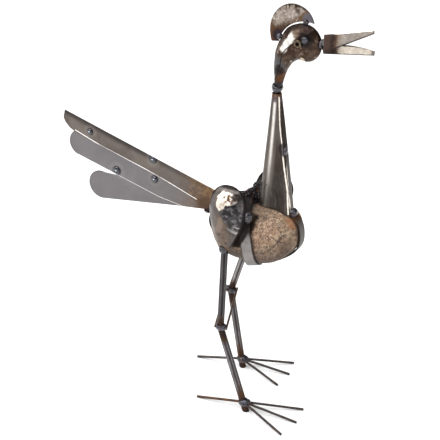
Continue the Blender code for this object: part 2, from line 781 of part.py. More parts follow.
def wing(name, side, leg, grow=0.0, cutter=False):
    """Egg-shaped shell beaten out of sheet, open towards the stone, with its narrow end down.

    As a cutter it is filled, so what it shapes stays outside the shell.
    """
    tip, up, forward, out = wing_frame(side, leg)
    rings = [0.0, 0.26, 0.50, 0.70, 0.86, 0.96, 1.0]
    count = 20

    def place(ring, angle):
        p, q, h = wing_point(ring, angle)
        return tip + forward * p + up * q + out * h

    def normal(ring, angle):
        step = 1e-4
        low = min(ring, 0.985)
        radial = place(low + step, angle) - place(low - step, angle)
        around = place(max(low, 0.05), angle + step) - place(max(low, 0.05), angle - step)
        n = unit(np.cross(radial, around))
        middle = tip + up * 0.6 * WING_HEIGHT
        return n if n @ (place(ring, angle) - middle + out * 0.001) > 0 else -n

    outer = [place(0.0, 0.0) + out * grow]
    fill = WING_DEPTH if cutter else 0.0
    inner = [place(0.0, 0.0) - out * (SHEET + grow + 2 * fill)]
    for ring in rings[1:]:
        for k in range(count):
            angle = 2 * math.pi * (k + 0.5) / count
            point = place(ring, angle)
            away = normal(ring, angle)
            outer.append(point + away * grow)
            inner.append(point - out * 2 * fill if cutter else point - away * SHEET)
    offset = len(outer)
    faces = []
    for base in (0, offset):
        for k in range(count):
            faces.append((base, base + 1 + k, base + 1 + (k + 1) % count))
        for r in range(len(rings) - 2):
            a = base + 1 + r * count
            for k in range(count):
                n = (k + 1) % count
                faces.append((a + k, a + n, a + count + n, a + count + k))
    rim = 1 + (len(rings) - 2) * count
    for k in range(count):
        n = (k + 1) % count
        faces.append((rim + k, rim + n, offset + rim + n, offset + rim + k))
    return add_piece(name, outer + inner, faces, "beaten", cutter)


def rod(name, start, end, radius, finish, sides, start_cut=None, end_cut=None, grow=0.0, cutter=False):
    """Round bar; each end is square or sawn along a plane given by a normal through its end point."""
    start = np.asarray(start, dtype=float)
    end = np.asarray(end, dtype=float)
    along = unit(end - start)
    reference = UP if abs(along[2]) < 0.8 else LEFT
    across = unit(np.cross(along, reference))
    upward = np.cross(along, across)
    rings = []
    for place, cut, pull in ((start, start_cut, -grow), (end, end_cut, grow)):
        plane = along if cut is None else np.asarray(cut, dtype=float)
        ring = []
        for k in range(sides):
            a = 2 * math.pi * (k + 0.5) / sides
            edge = place + (radius + grow) * (math.cos(a) * across + math.sin(a) * upward)
            ring.append(edge + along * (pull + ((place - edge) @ plane) / (along @ plane)))
        rings.append(ring)
    points, faces = skin_rings(rings)
    return add_piece(name, points, faces, finish, cutter)


def leg_points(side, leg):
    """Hip, knee and foot of a leg's middle line."""
    y = side * LEG_Y
    hip = np.array([leg["hip"], y, HIP_Z])
    knee = np.array([leg["knee"], y, KNEE_Z])
    foot = np.array([leg["foot"], y, 0.0])
    return hip, knee, foot


def leg_bars(name, side, leg):
    """Thigh and shin of one leg, mitred together at the knee, and their cutters."""
    hip, knee, foot = leg_points(side, leg)
    mitre = unit(unit(hip - knee) + unit(knee - foot))
    radius = LEG_BAR / 2
    thigh_end = knee + unit(hip - knee) * FIT_GAP
    shin_end = knee + unit(foot - knee) * FIT_GAP
    rod(f"{name}_thigh", hip, thigh_end, radius, "bar", ROD_SIDES, UP, mitre)
    rod(f"{name}_shin", shin_end, foot, radius, "bar", ROD_SIDES, mitre, UP)
    thigh_cut = rod(f"cut_{name}_thigh", hip, knee, radius, "bar", ROD_SIDES, UP, mitre, FIT_GAP, True)
    shin_cut = rod(f"cut_{name}_shin", knee, foot, radius, "bar", ROD_SIDES, mitre, UP, FIT_GAP, True)
    return thigh_cut, shin_cut


def shin_point(side, leg, height):
    """Place on the shin's middle line at a height above the floor."""
    _, knee, foot = leg_points(side, leg)
    return foot + (knee - foot) * (height - foot[2]) / (knee[2] - foot[2])


def toe_line(side, leg, angle, reach):
    """Root and tip of a toe's middle line, fanned out from the shin."""
    _, _, foot = leg_points(side, leg)
    joint = shin_point(side, leg, TOE_JOINT_Z)
    heading = direction(leg["turn"] + angle, 0.0)
    tip = foot + heading * leg["toe"] * reach
    slope = math.atan2(TOE_JOINT_Z - TOE_ROD / 2, leg["toe"] * reach)
    tip[2] = TOE_ROD / 2 * math.cos(slope)
    start = BACK_TOE_ROOT if abs(angle) > 90 else TOE_ROOT
    root = joint + unit(tip - joint) * start
    return root, tip


def toes(name, side, leg):
    """Four toes of one foot and their cutters."""
    cutters = []
    for toe, angle, reach in TOES:
        root, tip = toe_line(side, leg, angle, reach)
        rod(f"{name}_{toe}_toe", root, tip, TOE_ROD / 2, "thin", THIN_ROD_SIDES)
        cutters.append(rod(f"cut_{name}_{toe}_toe", root, tip, TOE_ROD / 2, "thin", THIN_ROD_SIDES,
                           grow=FIT_GAP, cutter=True))
    return cutters


def brace_line(offset):
    """Ends of a brace that runs past both knees, ahead of or behind the bars."""
    ends = []
    for name, side in SIDES.items():
        _, knee, _ = leg_points(side, LEGS[name])
        ends.append(knee + FORWARD * offset + UP * BRACE_LIFT)
    run = unit(ends[1] - ends[0])
    overrun = LEG_BAR / 2 + BRACE_OVERRUN
    return ends[0] - run * overrun, ends[1] + run * overrun


def braces():
    """Two thin rods that tie the knees together, and their cutters."""
    cutters = []
    reach = LEG_BAR / 2 + BRACE_ROD / 2 + 4 * FIT_GAP
    for name, offset in (("rear_brace", -reach), ("front_brace", reach + FRONT_BRACE_STAND)):
        start, end = brace_line(offset)
        rod(name, start, end, BRACE_ROD / 2, "thin", THIN_ROD_SIDES)
        cutters.append(rod(f"cut_{name}", start, end, BRACE_ROD / 2, "thin", THIN_ROD_SIDES,
                           grow=FIT_GAP, cutter=True))
    return cutters


def weld(name, middle, half_sizes, cutters, up=UP, lobes=0.10):
    """Lump of weld: a lobed egg with everything it joins cut out of it."""
    axis = unit(up)
    reference = FORWARD if abs(axis[0]) < 0.8 else LEFT
    across = unit(np.cross(reference, axis))
    along = np.cross(axis, across)
    rings = []
    for r in range(1, WELD_RINGS):
        polar = math.pi * r / WELD_RINGS
        ring = []
        for k in range(WELD_SIDES):
            a = 2 * math.pi * k / WELD_SIDES
            swell = 1.0 + lobes * math.sin(3 * a + 2.0 * polar) * math.sin(polar)
            ring.append(np.asarray(middle)
                        + along * half_sizes[0] * swell * math.sin(polar) * math.cos(a)
                        + across * half_sizes[1] * swell * math.sin(polar) * math.sin(a)
                        + axis * half_sizes[2] * math.cos(polar))
        rings.append(ring)
    points, faces = skin_rings(rings)
    lump = add_piece(name, points, faces, "weld")
    cut_away(lump, cutters)
    return lump


def plug_weld(name, x, z, back_y, radius):
    """Domed button of weld on the right face of a tail blade."""
    rings = []
    for share, lift in ((1.0, 0.0), (0.86, 0.55), (0.45, 0.95)):
        rings.append([(x + radius * share * math.cos(2 * math.pi * k / WELD_SIDES),
                       back_y - PLUG_HEIGHT * lift,
                       z + radius * share * math.sin(2 * math.pi * k / WELD_SIDES))
                      for k in range(WELD_SIDES)])
    points, faces = skin_rings(rings)
    return add_piece(name, points, faces, "weld")


def blade_y(order):
    """Middle of a tail blade's thickness: 0 is the upper blade, nearest the right side."""
    return (order - 1) * (BLADE + SEAT_GAP)


def upper_blade_outline():
    """Long blade with a straight top edge and a tip cut back and rounded below."""
    root = np.array([TAIL_ROOT_X, TAIL_ROOT_Z])
    pitch = math.radians(TAIL_PITCH)
    back = np.array([-math.cos(pitch), math.sin(pitch)])
    down = np.array([-math.sin(pitch), -math.cos(pitch)])
    length = UPPER_BLADE_LENGTH
    width = UPPER_BLADE_WIDTH
    shape = [(0.0, 0.0), (length, 0.0)]
    shape += [(length - 0.03 * width, 0.47 * width), (length - 0.20 * width, 0.67 * width)]
    shape += [(length - 0.53 * width, 0.86 * width), (length - 1.00 * width, 0.97 * width)]
    shape += [(0.70 * length, 0.93 * width), (0.35 * length, 0.92 * width), (0.0, 1.12 * width)]
    return [tuple(root + back * u + down * v) for u, v in shape]


def paddle_outline(middle, end_radius, start, end, root_edge):
    """Blade with a round outer end; root_edge gives the points at the body, lower first."""
    return arc(middle, end_radius, start, end, 12) + list(root_edge)


def tail(body_cutter):
    """Three blades fanned out behind the stone, one over the other."""
    root_x = TAIL_ROOT_X
    root_z = TAIL_ROOT_Z
    upper = plate_solid("tail_upper", upper_blade_outline(), blade_y(0), BLADE, "plate")
    middle_shape = paddle_outline(
        (MIDDLE_BLADE_X, MIDDLE_BLADE_Z), MIDDLE_BLADE_END, 78, 246,
        [(root_x - back, root_z - drop) for back, drop in MIDDLE_BLADE_EDGE])
    middle = plate_solid("tail_middle", middle_shape, blade_y(1), BLADE, "plate")
    lower_shape = paddle_outline(
        (LOWER_BLADE_X, LOWER_BLADE_Z), LOWER_BLADE_END, 72, 276,
        [(root_x - back, root_z - drop) for back, drop in LOWER_BLADE_EDGE])
    lower = plate_solid("tail_lower", lower_shape, blade_y(2), BLADE, "plate")
    for blade in (upper, middle, lower):
        cut_away(blade, [body_cutter])


def strap_envelope(name, path, grow):
    """Everything inside the lengthwise strap and its neck, for cutting the tail's roots."""
    outer = offset_path(path, STRAP_THICKNESS + grow, closed=False)
    outline = [(STONE_MIDDLE_X + x, STONE_MIDDLE_Z + z) for x, z in outer]
    return plate_solid(name, outline, 0.0, STRAP_WIDTH, "plate", cutter=True)


def plug_welds():
    """Buttons of weld that fasten the blades to each other."""
    for place, order, x, z, diameter in TAIL_PLUGS:
        face = blade_y(order) - BLADE / 2 - FIT_GAP
        plug_weld(f"tail_plug_{place}", x, z, face, diameter / 2)


def tail_root_weld(body_cut):
    """Lump of weld under the blades' root, against the strap."""
    under = TAIL_ROOT_Z - TAIL_ROOT_DROP - 2 * FIT_GAP
    reach = 4 * TAIL_ROOT_WELD[0]
    room = box("cut_tail", (TAIL_ROOT_X - reach, -reach, under), (TAIL_ROOT_X + reach, reach, under + reach))
    weld("tail_root_weld", (TAIL_ROOT_X - TAIL_ROOT_WELD_BACK, 0.0, under), TAIL_ROOT_WELD,
         [body_cut, room])


def leg_welds(name, side, leg, thigh_cut, shin_cut, brace_cuts, toe_cuts):
    """Collars of weld round the knee and round the toes' roots."""
    _, knee, _ = leg_points(side, leg)
    weld(f"{name}_knee_weld", knee + UP * KNEE_WELD_RISE, KNEE_WELD, [thigh_cut, shin_cut] + brace_cuts)
    ankle = shin_point(side, leg, TOE_JOINT_Z)
    weld(f"{name}_foot_weld", ankle + FORWARD * FOOT_WELD_AHEAD, FOOT_WELD, [shin_cut] + toe_cuts)


def wing_welds(name, side, leg, wing_cut, thigh_cut, hoop_cut, stone_cut):
    """Welds above a wing's lower tip and between its edge and the hoop."""
    tip, up, forward, out = wing_frame(side, leg)
    weld(f"{name}_hip_weld", tip + up * HIP_WELD_RISE + out * HIP_WELD_OUT, HIP_WELD, [wing_cut, thigh_cut])
    place = (leg["wing_weld"], side * WING_WELD_Y, WING_WELD_Z)
    weld(f"{name}_wing_weld", place, WING_WELD, [wing_cut, hoop_cut, stone_cut])


def back_weld_outline():
    """Side view of the weld built up in steps between the hoop and the back of the neck."""
    foot = stone_top(NECK_FOOT_REAR_X, 0.0) - STRAP_THICKNESS
    over_hoop = foot + 3 * STRAP_THICKNESS
    rear = NECK_FOOT_REAR_X - BACK_WELD_LENGTH
    ahead_of_hoop = NECK_FOOT_REAR_X - BACK_WELD_SEAT
    under_neck = NECK_FOOT_REAR_X + NECK_FOOT_WIDTH / 2
    outline = [(rear, over_hoop), (ahead_of_hoop, over_hoop), (ahead_of_hoop, foot),
               (under_neck, foot), (under_neck, foot + BACK_WELD_HEIGHT)]
    for along, rise in BACK_WELD_STEPS:
        outline.append((rear + along * BACK_WELD_LENGTH, foot + rise * BACK_WELD_HEIGHT))
    return outline


def box(name, low, high):
    """Plain block between two corners, for cutting its neighbours."""
    corners = ((low[0], low[1]), (high[0], low[1]), (high[0], high[1]), (low[0], high[1]))
    rings = [[(x, y, z) for x, y in corners] for z in (low[2], high[2])]
    points, faces = skin_rings(rings)
    return add_piece(name, points, faces, "plate", cutter=True)


def neck_seam_point(level):
    """Place on the neck's seam at a level from its foot to its top."""
    return np.array(neck_level_point(neck_section(level)[0], level))


def head_welds(head_cut, crest_cut, neck_cut):
    """Welds that hold the crest, beak and eyes to the head, and the head to the neck."""
    weld("crest_rear_weld", (HEAD_X + CREST_REAR_WELD_X, 0.0, HEAD_Z + CREST_REAR_WELD_Z),
         CREST_REAR_WELD, [head_cut, crest_cut])
    weld("crest_front_weld", (HEAD_X + CREST_FRONT_WELD_X, 0.0, HEAD_Z + CREST_FRONT_WELD_Z),
         CREST_FRONT_WELD, [head_cut, crest_cut])
    face = beak_base_x() - FIT_GAP
    beak_room = box("cut_beak", (face, -HEAD_DIAMETER, HEAD_Z - HEAD_DIAMETER),
                    (face + BEAK_LENGTH, HEAD_DIAMETER, HEAD_Z + HEAD_DIAMETER))
    weld("beak_weld", (face - BEAK_WELD_BACK, 0.0, HEAD_Z + BEAK_WELD_RISE), BEAK_WELD,
         [head_cut, beak_room])
    for name, side in SIDES.items():
        nut_cut = eye_nut(f"cut_{name}_eye", side, FIT_GAP, True)
        middle = eye_place(side) + FORWARD * EYE_WELD_AHEAD + UP * EYE_WELD_RISE
        weld(f"{name}_eye_weld", middle, EYE_WELD, [head_cut, nut_cut])
    weld("throat_weld", (NECK_TOP_X, 0.0, NECK_TOP_Z + THROAT_WELD_RISE), THROAT_WELD,
         [head_cut, neck_cut])
    weld("seam_weld", neck_seam_point(SEAM_WELD_LEVEL), SEAM_WELD, [neck_cut])


def body_welds(stone_cut, strap_cut, hoop_cut, neck_cut):
    """Welds that close the straps on the neck and hold the tail."""
    foot = stone_top(NECK_FOOT_FRONT_X, 0.0)
    weld("breast_weld", (NECK_FOOT_FRONT_X + BREAST_WELD_AHEAD, -BREAST_WELD_ASIDE, foot + BREAST_WELD_RISE),
         BREAST_WELD, [neck_cut, strap_cut, stone_cut])
    back = plate_solid("back_weld", back_weld_outline(), 0.0, BACK_WELD_THICKNESS, "weld")
    cut_away(back, [stone_cut, strap_cut, hoop_cut, neck_cut])


def build():
    """Make every piece of the bird."""
    stone_shape("stone")
    stone_cut = stone_shape("cut_stone", FIT_GAP * 1.5, cutter=True, facets=4)

    path = long_strap_path()
    strap_solid("long_strap", path, STONE_MIDDLE, FORWARD, UP, LEFT)
    strap_cut = strap_solid("cut_long_strap", path, STONE_MIDDLE, FORWARD, UP, LEFT, FIT_GAP, cutter=True)
    ring = hoop_path()
    origin, across, up, side = hoop_frame()
    strap_solid("cross_strap", ring, origin, across, up, side, closed=True)
    hoop_cut = strap_solid("cut_cross_strap", ring, origin, across, up, side, FIT_GAP, True, True)

    neck()
    neck_cut = neck_hull("cut_neck", SHEET + SEAT_GAP + 2 * FIT_GAP)
    head_shape("head")
    head_cut = head_shape("cut_head", FIT_GAP, cutter=True)
    plate_solid("crest", crest_outline(), 0.0, CREST_THICKNESS, "tinted")
    crest_cut = plate_solid("cut_crest", crest_outline(FIT_GAP), 0.0,
                            CREST_THICKNESS + 2 * FIT_GAP, "tinted", cutter=True)
    upper_beak()
    lower_beak()

    body_cut = strap_envelope("cut_body", path, SEAT_GAP)
    tail(body_cut)
    plug_welds()
    tail_root_weld(body_cut)
    head_welds(head_cut, crest_cut, neck_cut)
    body_welds(stone_cut, strap_cut, hoop_cut, neck_cut)

    brace_cuts = braces()
    for name, side_sign in SIDES.items():
        leg = LEGS[name]
        eye_nut(f"{name}_eye", side_sign)
        wing(f"{name}_wing", side_sign, leg)
        wing_cut = wing(f"cut_{name}_wing", side_sign, leg, FIT_GAP, True)
        thigh_cut, shin_cut = leg_bars(name, side_sign, leg)
        toe_cuts = toes(name, side_sign, leg)
        leg_welds(name, side_sign, leg, thigh_cut, shin_cut, brace_cuts, toe_cuts)
        wing_welds(name, side_sign, leg, wing_cut, thigh_cut, hoop_cut, stone_cut)


def stand_over_origin():
    """Centre the finished bird over the origin, with its feet on the floor."""
    bpy.context.view_layer.update()
    graph = bpy.context.evaluated_depsgraph_get()
    lows = []
    highs = []
    for piece in bpy.context.scene.objects:
        if piece.type != "MESH" or piece.hide_render:
            continue
        shaped = piece.evaluated_get(graph)
        corners = np.array([piece.matrix_world @ v.co for v in shaped.to_mesh().vertices])
        lows.append(corners.min(axis=0))
        highs.append(corners.max(axis=0))
        shaped.to_mesh_clear()
    low = np.min(lows, axis=0)
    high = np.max(highs, axis=0)
    shift = np.array([(low[0] + high[0]) / 2, (low[1] + high[1]) / 2, low[2]])
    for piece in bpy.context.scene.objects:
        piece.location = tuple(np.array(piece.location) - shift)


for old in list(bpy.data.objects):
    bpy.data.objects.remove(old, do_unlink=True)
build()
stand_over_origin()
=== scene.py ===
"""Looks of a roadrunner garden sculpture, welded from scrap steel round a river stone.

Each operator makes one piece, or one group of like pieces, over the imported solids.
The sizes inside are in metres and are measured from the bird's own bench point, on the
floor between its feet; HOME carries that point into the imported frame.
"""
import itertools
import math

import bmesh
import bpy
import numpy as np
from bpy.props import FloatProperty, FloatVectorProperty, PointerProperty
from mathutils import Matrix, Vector


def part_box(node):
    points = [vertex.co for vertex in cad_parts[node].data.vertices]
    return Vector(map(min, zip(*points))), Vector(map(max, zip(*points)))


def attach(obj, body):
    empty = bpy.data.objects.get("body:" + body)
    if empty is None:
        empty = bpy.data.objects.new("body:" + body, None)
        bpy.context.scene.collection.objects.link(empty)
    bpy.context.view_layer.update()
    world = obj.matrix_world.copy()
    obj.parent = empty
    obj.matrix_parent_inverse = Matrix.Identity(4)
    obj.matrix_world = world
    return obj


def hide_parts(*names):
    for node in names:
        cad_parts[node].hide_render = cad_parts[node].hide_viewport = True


bl_info = {
    "name": "Welded Roadrunner",
    "version": (1, 0, 0),
    "blender": (4, 5, 0),
    "location": "3D View > Sidebar > Roadrunner",
    "description": "Dresses a roadrunner made of scrap steel and a river stone",
    "category": "Add Mesh",
}

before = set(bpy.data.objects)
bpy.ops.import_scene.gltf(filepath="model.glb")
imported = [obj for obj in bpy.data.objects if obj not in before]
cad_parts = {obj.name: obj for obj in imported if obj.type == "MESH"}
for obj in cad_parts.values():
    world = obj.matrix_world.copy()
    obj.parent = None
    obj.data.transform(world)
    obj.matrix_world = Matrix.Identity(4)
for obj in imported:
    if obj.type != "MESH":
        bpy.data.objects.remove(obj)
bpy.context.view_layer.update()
HOME = np.array([0.074907, -0.006818, 0.000003])

FORWARD = np.array([1.0, 0.0, 0.0])
LEFT = np.array([0.0, 1.0, 0.0])
UP = np.array([0.0, 0.0, 1.0])
SIDES = {"right": -1.0, "left": 1.0}

# Stone
STONE_HALF = np.array([0.175, 0.120, 0.1165]) / 2
STONE_MIDDLE = np.array([0.0190, 0.0, 0.3270])
# Worn faces of the stone: azimuth, elevation, reach as a share of the half size
STONE_FACES = (
    (0, 0, 1.00), (180, 0, 1.00), (90, 0, 1.00), (-90, 0, 1.00), (0, 90, 1.01), (0, -90, 0.855),
    (40, 0, 1.03), (-40, 0, 1.05), (140, 0, 0.98), (-140, 0, 0.95),
    (0, 45, 1.19), (180, 45, 0.99), (90, 45, 1.02), (-90, 45, 1.06),
    (0, -45, 0.85), (180, -45, 0.80), (90, -45, 0.94), (-90, -45, 0.93),
)
STONE_CREASE = ((0.0905, -0.0370, 0.3515), (0.0720, -0.0510, 0.3270))

# Fits
FIT_GAP = 0.0003
SEAT_GAP = 0.0005

# Straps
STRAP_WIDTH = 0.019
STRAP_THICKNESS = 0.003
HOOP_MIDDLE = (0.016, 0.0, 0.327)
HOOP_YAW = 15.5
HOOP_TILT = -9.0

# Legs, toes and braces
LEG_BAR = 0.0127
LEG_Y = 0.064
HIP_Z = 0.311
KNEE_Z = 0.159
LEGS = {
    "right": {"hip": -0.0079, "knee": -0.0156, "foot": 0.0358, "turn": 2.0, "toe": 0.0977, "lean": 3.6},
    "left": {"hip": -0.0126, "knee": -0.0618, "foot": -0.0358, "turn": 7.1, "toe": 0.0925, "lean": 27.0},
}
TOES = (("inner", 26.1, 1.06), ("middle", 1.4, 1.00), ("outer", -26.1, 1.00), ("back", -179.5, 1.00))
TOE_ROD = 0.0048
TOE_JOINT_Z = 0.0170
TOE_ROOT = 0.0125
BACK_TOE_ROOT = 0.0082
BRACE_ROD = 0.0042
BRACE_OVERRUN = 0.0012
BRACE_LIFT = 0.0030
FRONT_BRACE_STAND = 0.0025

# Neck: where its foot starts, the foot's length and width, and its top
SHEET = 0.0016
NECK_FOOT = (0.0263, 0.0605, 0.026)
NECK_TOP = np.array([0.0545, 0.0, 0.588])
NECK_TOP_DIAMETER = 0.0162
NECK_CORNER = 0.004

# Head and beak
HEAD_MIDDLE = np.array([0.0995, 0.0, 0.6796])
HEAD_RADIUS = 0.0322
HEAD_HALF_THICKNESS = 0.015
HEAD_PITCH = 22.0
THROAT_RADIUS = 0.0068
BEAK_PLATE = 0.0015
BEAK_LENGTH = 0.0835
BEAK_BASE_HEIGHT = 0.0322
BEAK_TIP_HEIGHT = 0.0078
BEAK_BASE_X = HEAD_MIDDLE[0] + HEAD_RADIUS + SEAT_GAP + BEAK_PLATE
BEAK_TIP_X = BEAK_BASE_X + BEAK_LENGTH
BEAK_RIDGE_Z = HEAD_MIDDLE[2] + 0.59 * BEAK_BASE_HEIGHT
BEAK_RISE = 13.5
LOWER_BEAK_RISE = 7.3
NUT_ACROSS = 0.0118
NUT_THICKNESS = 0.0042
NUT_BORE_RADIUS = 0.0031
EYE_X = HEAD_MIDDLE[0] - 0.0024
EYE_Y = 0.0153
EYE_Z = HEAD_MIDDLE[2] + 0.0030

# Crest
CREST_MIDDLE = (0.0800, 0.6996)
CREST_THICKNESS = 0.003
CREST_PITCH = 27.2
CREST_BITE_MIDDLE = (0.0058, -0.0417)
CREST_BITE_RADIUS = 0.0497
# Hand-cut rim of the crest: angle from its own level line, and distance from its middle
CREST_RIM = ((-7, 0.0392), (12, 0.0407), (26, 0.0414), (41, 0.0414), (58, 0.0416), (73, 0.0412),
             (93, 0.0402), (113, 0.0392), (133, 0.0388), (154, 0.0394), (172, 0.0410), (187, 0.0438))

# Wings
WING_HEIGHT = 0.1215
WING_CROWN = 0.60 * WING_HEIGHT
WING_HALF_WIDTH = 0.035
WING_DEPTH = 0.018
WING_EGG = 0.40
WING_FILL = 1.07
WING_LEAN_INWARD = 6.0
WING_STANDOFF = 0.0056
WING_LIFT = 0.0016

# Tail: its root, and the middle and radius of each lower blade's round end
TAIL_ROOT = (-0.0546, 0.3881)
TAIL_PITCH = 17.0
UPPER_BLADE_LENGTH = 0.3255
UPPER_BLADE_WIDTH = 0.0335
BLADE_ENDS = (((-0.3345, 0.4235), 0.0255), ((-0.2958, 0.3487), 0.0270))
BLADE = 0.0016
BLADE_STEP = 0.0021
PLUG_HEIGHT = 0.0026
# Domed plugs of weld: name, which blade, x, z and diameter
TAIL_PLUGS = (
    ("tip", 0, -0.3131, 0.4503, 0.0115), ("edge", 0, -0.1828, 0.4225, 0.0125),
    ("middle", 1, -0.1818, 0.3838, 0.0125), ("lower", 1, -0.2608, 0.3845, 0.0150),
)

# The photograph's view
VIEW_TARGET = np.array([0.024207, -0.006818, 0.333003])
VIEW_DISTANCE = 2.275
VIEW_LENS = 106.36
VIEW_SENSOR = 36.0


# Small sums

def unit(vector):
    """Vector of length one along the given one."""
    vector = np.asarray(vector, dtype=float)
    return vector / np.linalg.norm(vector)


def direction(azimuth, elevation=0.0):
    """Unit vector at an azimuth from the bird's heading and an elevation from the floor."""
    a = math.radians(azimuth)
    e = math.radians(elevation)
    return np.array([math.cos(a) * math.cos(e), math.sin(a) * math.cos(e), math.sin(e)])


def smooth(value, start, end):
    """Soft step from 0 at start to 1 at end."""
    t = np.clip((value - start) / (end - start), 0.0, 1.0)
    return t * t * (3.0 - 2.0 * t)


def lattice(cells, seed):
    """Repeatable numbers from 0 to 1 at whole-number places."""
    x, y, z = (cells[..., k].astype(np.int64) for k in range(3))
    n = (x * 73856093) ^ (y * 19349663) ^ (z * 83492791) ^ (seed * 9781)
    n = ((n ^ (n >> 13)) * 1274126177) & 0x7FFFFFFF
    n = ((n ^ (n >> 15)) * 668265263) & 0x7FFFFFFF
    return ((n ^ (n >> 13)) & 0xFFFFF) / float(0xFFFFF)


def swells(points, size, seed=0, octaves=1):
    """Soft random relief from -1 to 1; size is the length of its largest swell."""
    total = 0.0
    share = 1.0
    for octave in range(octaves):
        spot = points / (size / 2 ** octave)
        cell = np.floor(spot)
        part = spot - cell
        part = part * part * (3.0 - 2.0 * part)
        value = 0.0
        for corner in itertools.product((0, 1), repeat=3):
            weight = 1.0
            for k in range(3):
                weight = weight * (part[..., k] if corner[k] else 1.0 - part[..., k])
            value = value + weight * lattice(cell + np.array(corner), seed + 31 * octave)
        total = total + share * (2.0 * value - 1.0)
        share *= 0.5
    return total / (2.0 - 2.0 ** (1 - octaves))


def hollows(depth, points, size, seed, octaves):
    """Soft random hollows of up to the given depth."""
    return depth * (0.5 + 0.5 * swells(points, size, seed, octaves))


def dents(points, size, seed=0):
    """Hammer marks: 0 in the middle of each blow, rising to about 1 on the ridges between blows."""
    spot = points / size + 0.25 * np.stack(
        [swells(points, size * 1.7, seed + k) for k in (3, 5, 7)], axis=-1)
    cell = np.floor(spot)
    nearest = np.full(spot.shape[:-1], 9.0)
    for step in itertools.product((-1, 0, 1), repeat=3):
        home = cell + np.array(step)
        blow = home + 0.5 + 0.42 * np.stack(
            [2.0 * lattice(home, seed + k) - 1.0 for k in (11, 12, 13)], axis=-1)
        nearest = np.minimum(nearest, ((spot - blow) ** 2).sum(axis=-1))
    return np.clip(nearest, 0.0, 1.0)


def even(path, count, closed=False):
    """Points at even steps along a path."""
    path = np.asarray(path, dtype=float)
    if closed:
        path = np.vstack([path, path[:1]])
    travel = np.concatenate([[0.0], np.cumsum(np.linalg.norm(np.diff(path, axis=0), axis=1))])
    places = np.linspace(0.0, travel[-1], count + 1 if closed else count)
    places = places[:-1] if closed else places
    return np.column_stack([np.interp(places, travel, path[:, k]) for k in range(path.shape[1])])


def eased(path, rounds, closed=False):
    """Path with its corners rubbed down; the ends of an open one stay."""
    path = np.array(path, dtype=float)
    for _ in range(rounds):
        ahead = np.roll(path, -1, axis=0)
        behind = np.roll(path, 1, axis=0)
        new = 0.5 * path + 0.25 * (ahead + behind)
        if not closed:
            new[0] = path[0]
            new[-1] = path[-1]
        path = new
    return path


def arc(middle, radius, start, end, count):
    """Points along a round stretch."""
    turn = np.radians(np.linspace(start, end, count))
    return np.column_stack([middle[0] + radius * np.cos(turn), middle[1] + radius * np.sin(turn)])


# Meshes

def make(name, points, faces, finishes, nodes, slot, face_finish=None, sharp=38.0):
    """Turn points and faces into a piece of the bird that stands for the named solids."""
    corners = [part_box(node) for node in nodes]
    low = np.min([np.array(pair[0]) for pair in corners], axis=0)
    high = np.max([np.array(pair[1]) for pair in corners], axis=0)
    mesh = bpy.data.meshes.new(name)
    mesh.from_pydata(np.clip(np.asarray(points) + HOME, low, high).tolist(), [], faces)
    tidy = bmesh.new()
    tidy.from_mesh(mesh)
    bmesh.ops.recalc_face_normals(tidy, faces=tidy.faces)
    tidy.to_mesh(mesh)
    tidy.free()
    for finish in finishes:
        mesh.materials.append(finish)
    if face_finish is not None:
        mesh.polygons.foreach_set("material_index", face_finish)
    mesh.shade_smooth()
    mesh.set_sharp_from_angle(angle=math.radians(sharp))
    piece = bpy.data.objects.new(name, mesh)
    bpy.context.scene.collection.objects.link(piece)
    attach(piece, "root")
    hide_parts(*nodes)
    return piece


def skin(rows, around=True, loop=False, capped=True):
    """Quads over rows of points; around joins each row to itself, loop joins the last row to the first."""
    count, width = rows.shape[:2]
    faces = []
    for r in range(count if loop else count - 1):
        a = r * width
        b = ((r + 1) % count) * width
        for k in range(width if around else width - 1):
            n = (k + 1) % width
            faces.append((a + k, a + n, b + n, b + k))
    if capped and not loop:
        faces.append(tuple(range(width)))
        faces.append(tuple(range((count - 1) * width, count * width)))
    return rows.reshape(-1, 3), faces


def solid_copy(node, cell):
    """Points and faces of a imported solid, remade in fine cells of the given size."""
    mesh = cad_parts[node].data.copy()
    plain = bmesh.new()
    plain.from_mesh(mesh)
    bmesh.ops.remove_doubles(plain, verts=plain.verts, dist=1e-6)
    bmesh.ops.dissolve_limit(plain, angle_limit=math.radians(0.5), verts=plain.verts, edges=plain.edges)
    plain.to_mesh(mesh)
    plain.free()
    rough = bpy.data.objects.new("rough_" + node, mesh)
    bpy.context.scene.collection.objects.link(rough)
    cells = rough.modifiers.new("cells", "REMESH")
    cells.mode = "VOXEL"
    cells.voxel_size = cell
    shaped = rough.evaluated_get(bpy.context.evaluated_depsgraph_get())
    fine = shaped.to_mesh()
    points = np.array([v.co for v in fine.vertices]) - HOME
    faces = [tuple(p.vertices) for p in fine.polygons]
    shaped.to_mesh_clear()
    bpy.data.objects.remove(rough, do_unlink=True)
    return points, faces


def out_of(rows):
    """Unit directions out of a closed tube of rows."""
    run = np.gradient(rows, axis=0)
    turn = np.roll(rows, -1, axis=1) - np.roll(rows, 1, axis=1)
    away = np.cross(run, turn)
    away = away / np.maximum(np.linalg.norm(away, axis=-1), 1e-15)[..., None]
    arm = rows - rows.mean(axis=1, keepdims=True)
    return away if (arm * away).sum() > 0 else -away


def sunk(rows, depth):
    """Rows of a closed tube pushed in by a depth for each point."""
    return rows - out_of(rows) * depth[..., None]


def outward(points, faces):
    """Unit directions out of a closed surface at its points."""
    sides = np.array([(f[0], f[1], f[2]) for f in faces])
    a, b, c = points[sides[:, 0]], points[sides[:, 1]], points[sides[:, 2]]
    flat = np.cross(b - a, c - a)
    total = np.zeros_like(points)
    for corner in range(max(len(f) for f in faces)):
        users = np.array([f[corner] if corner < len(f) else -1 for f in faces])
        held = users >= 0
        np.add.at(total, users[held], flat[held])
    return total / np.maximum(np.linalg.norm(total, axis=1), 1e-12)[:, None]


# Finishes

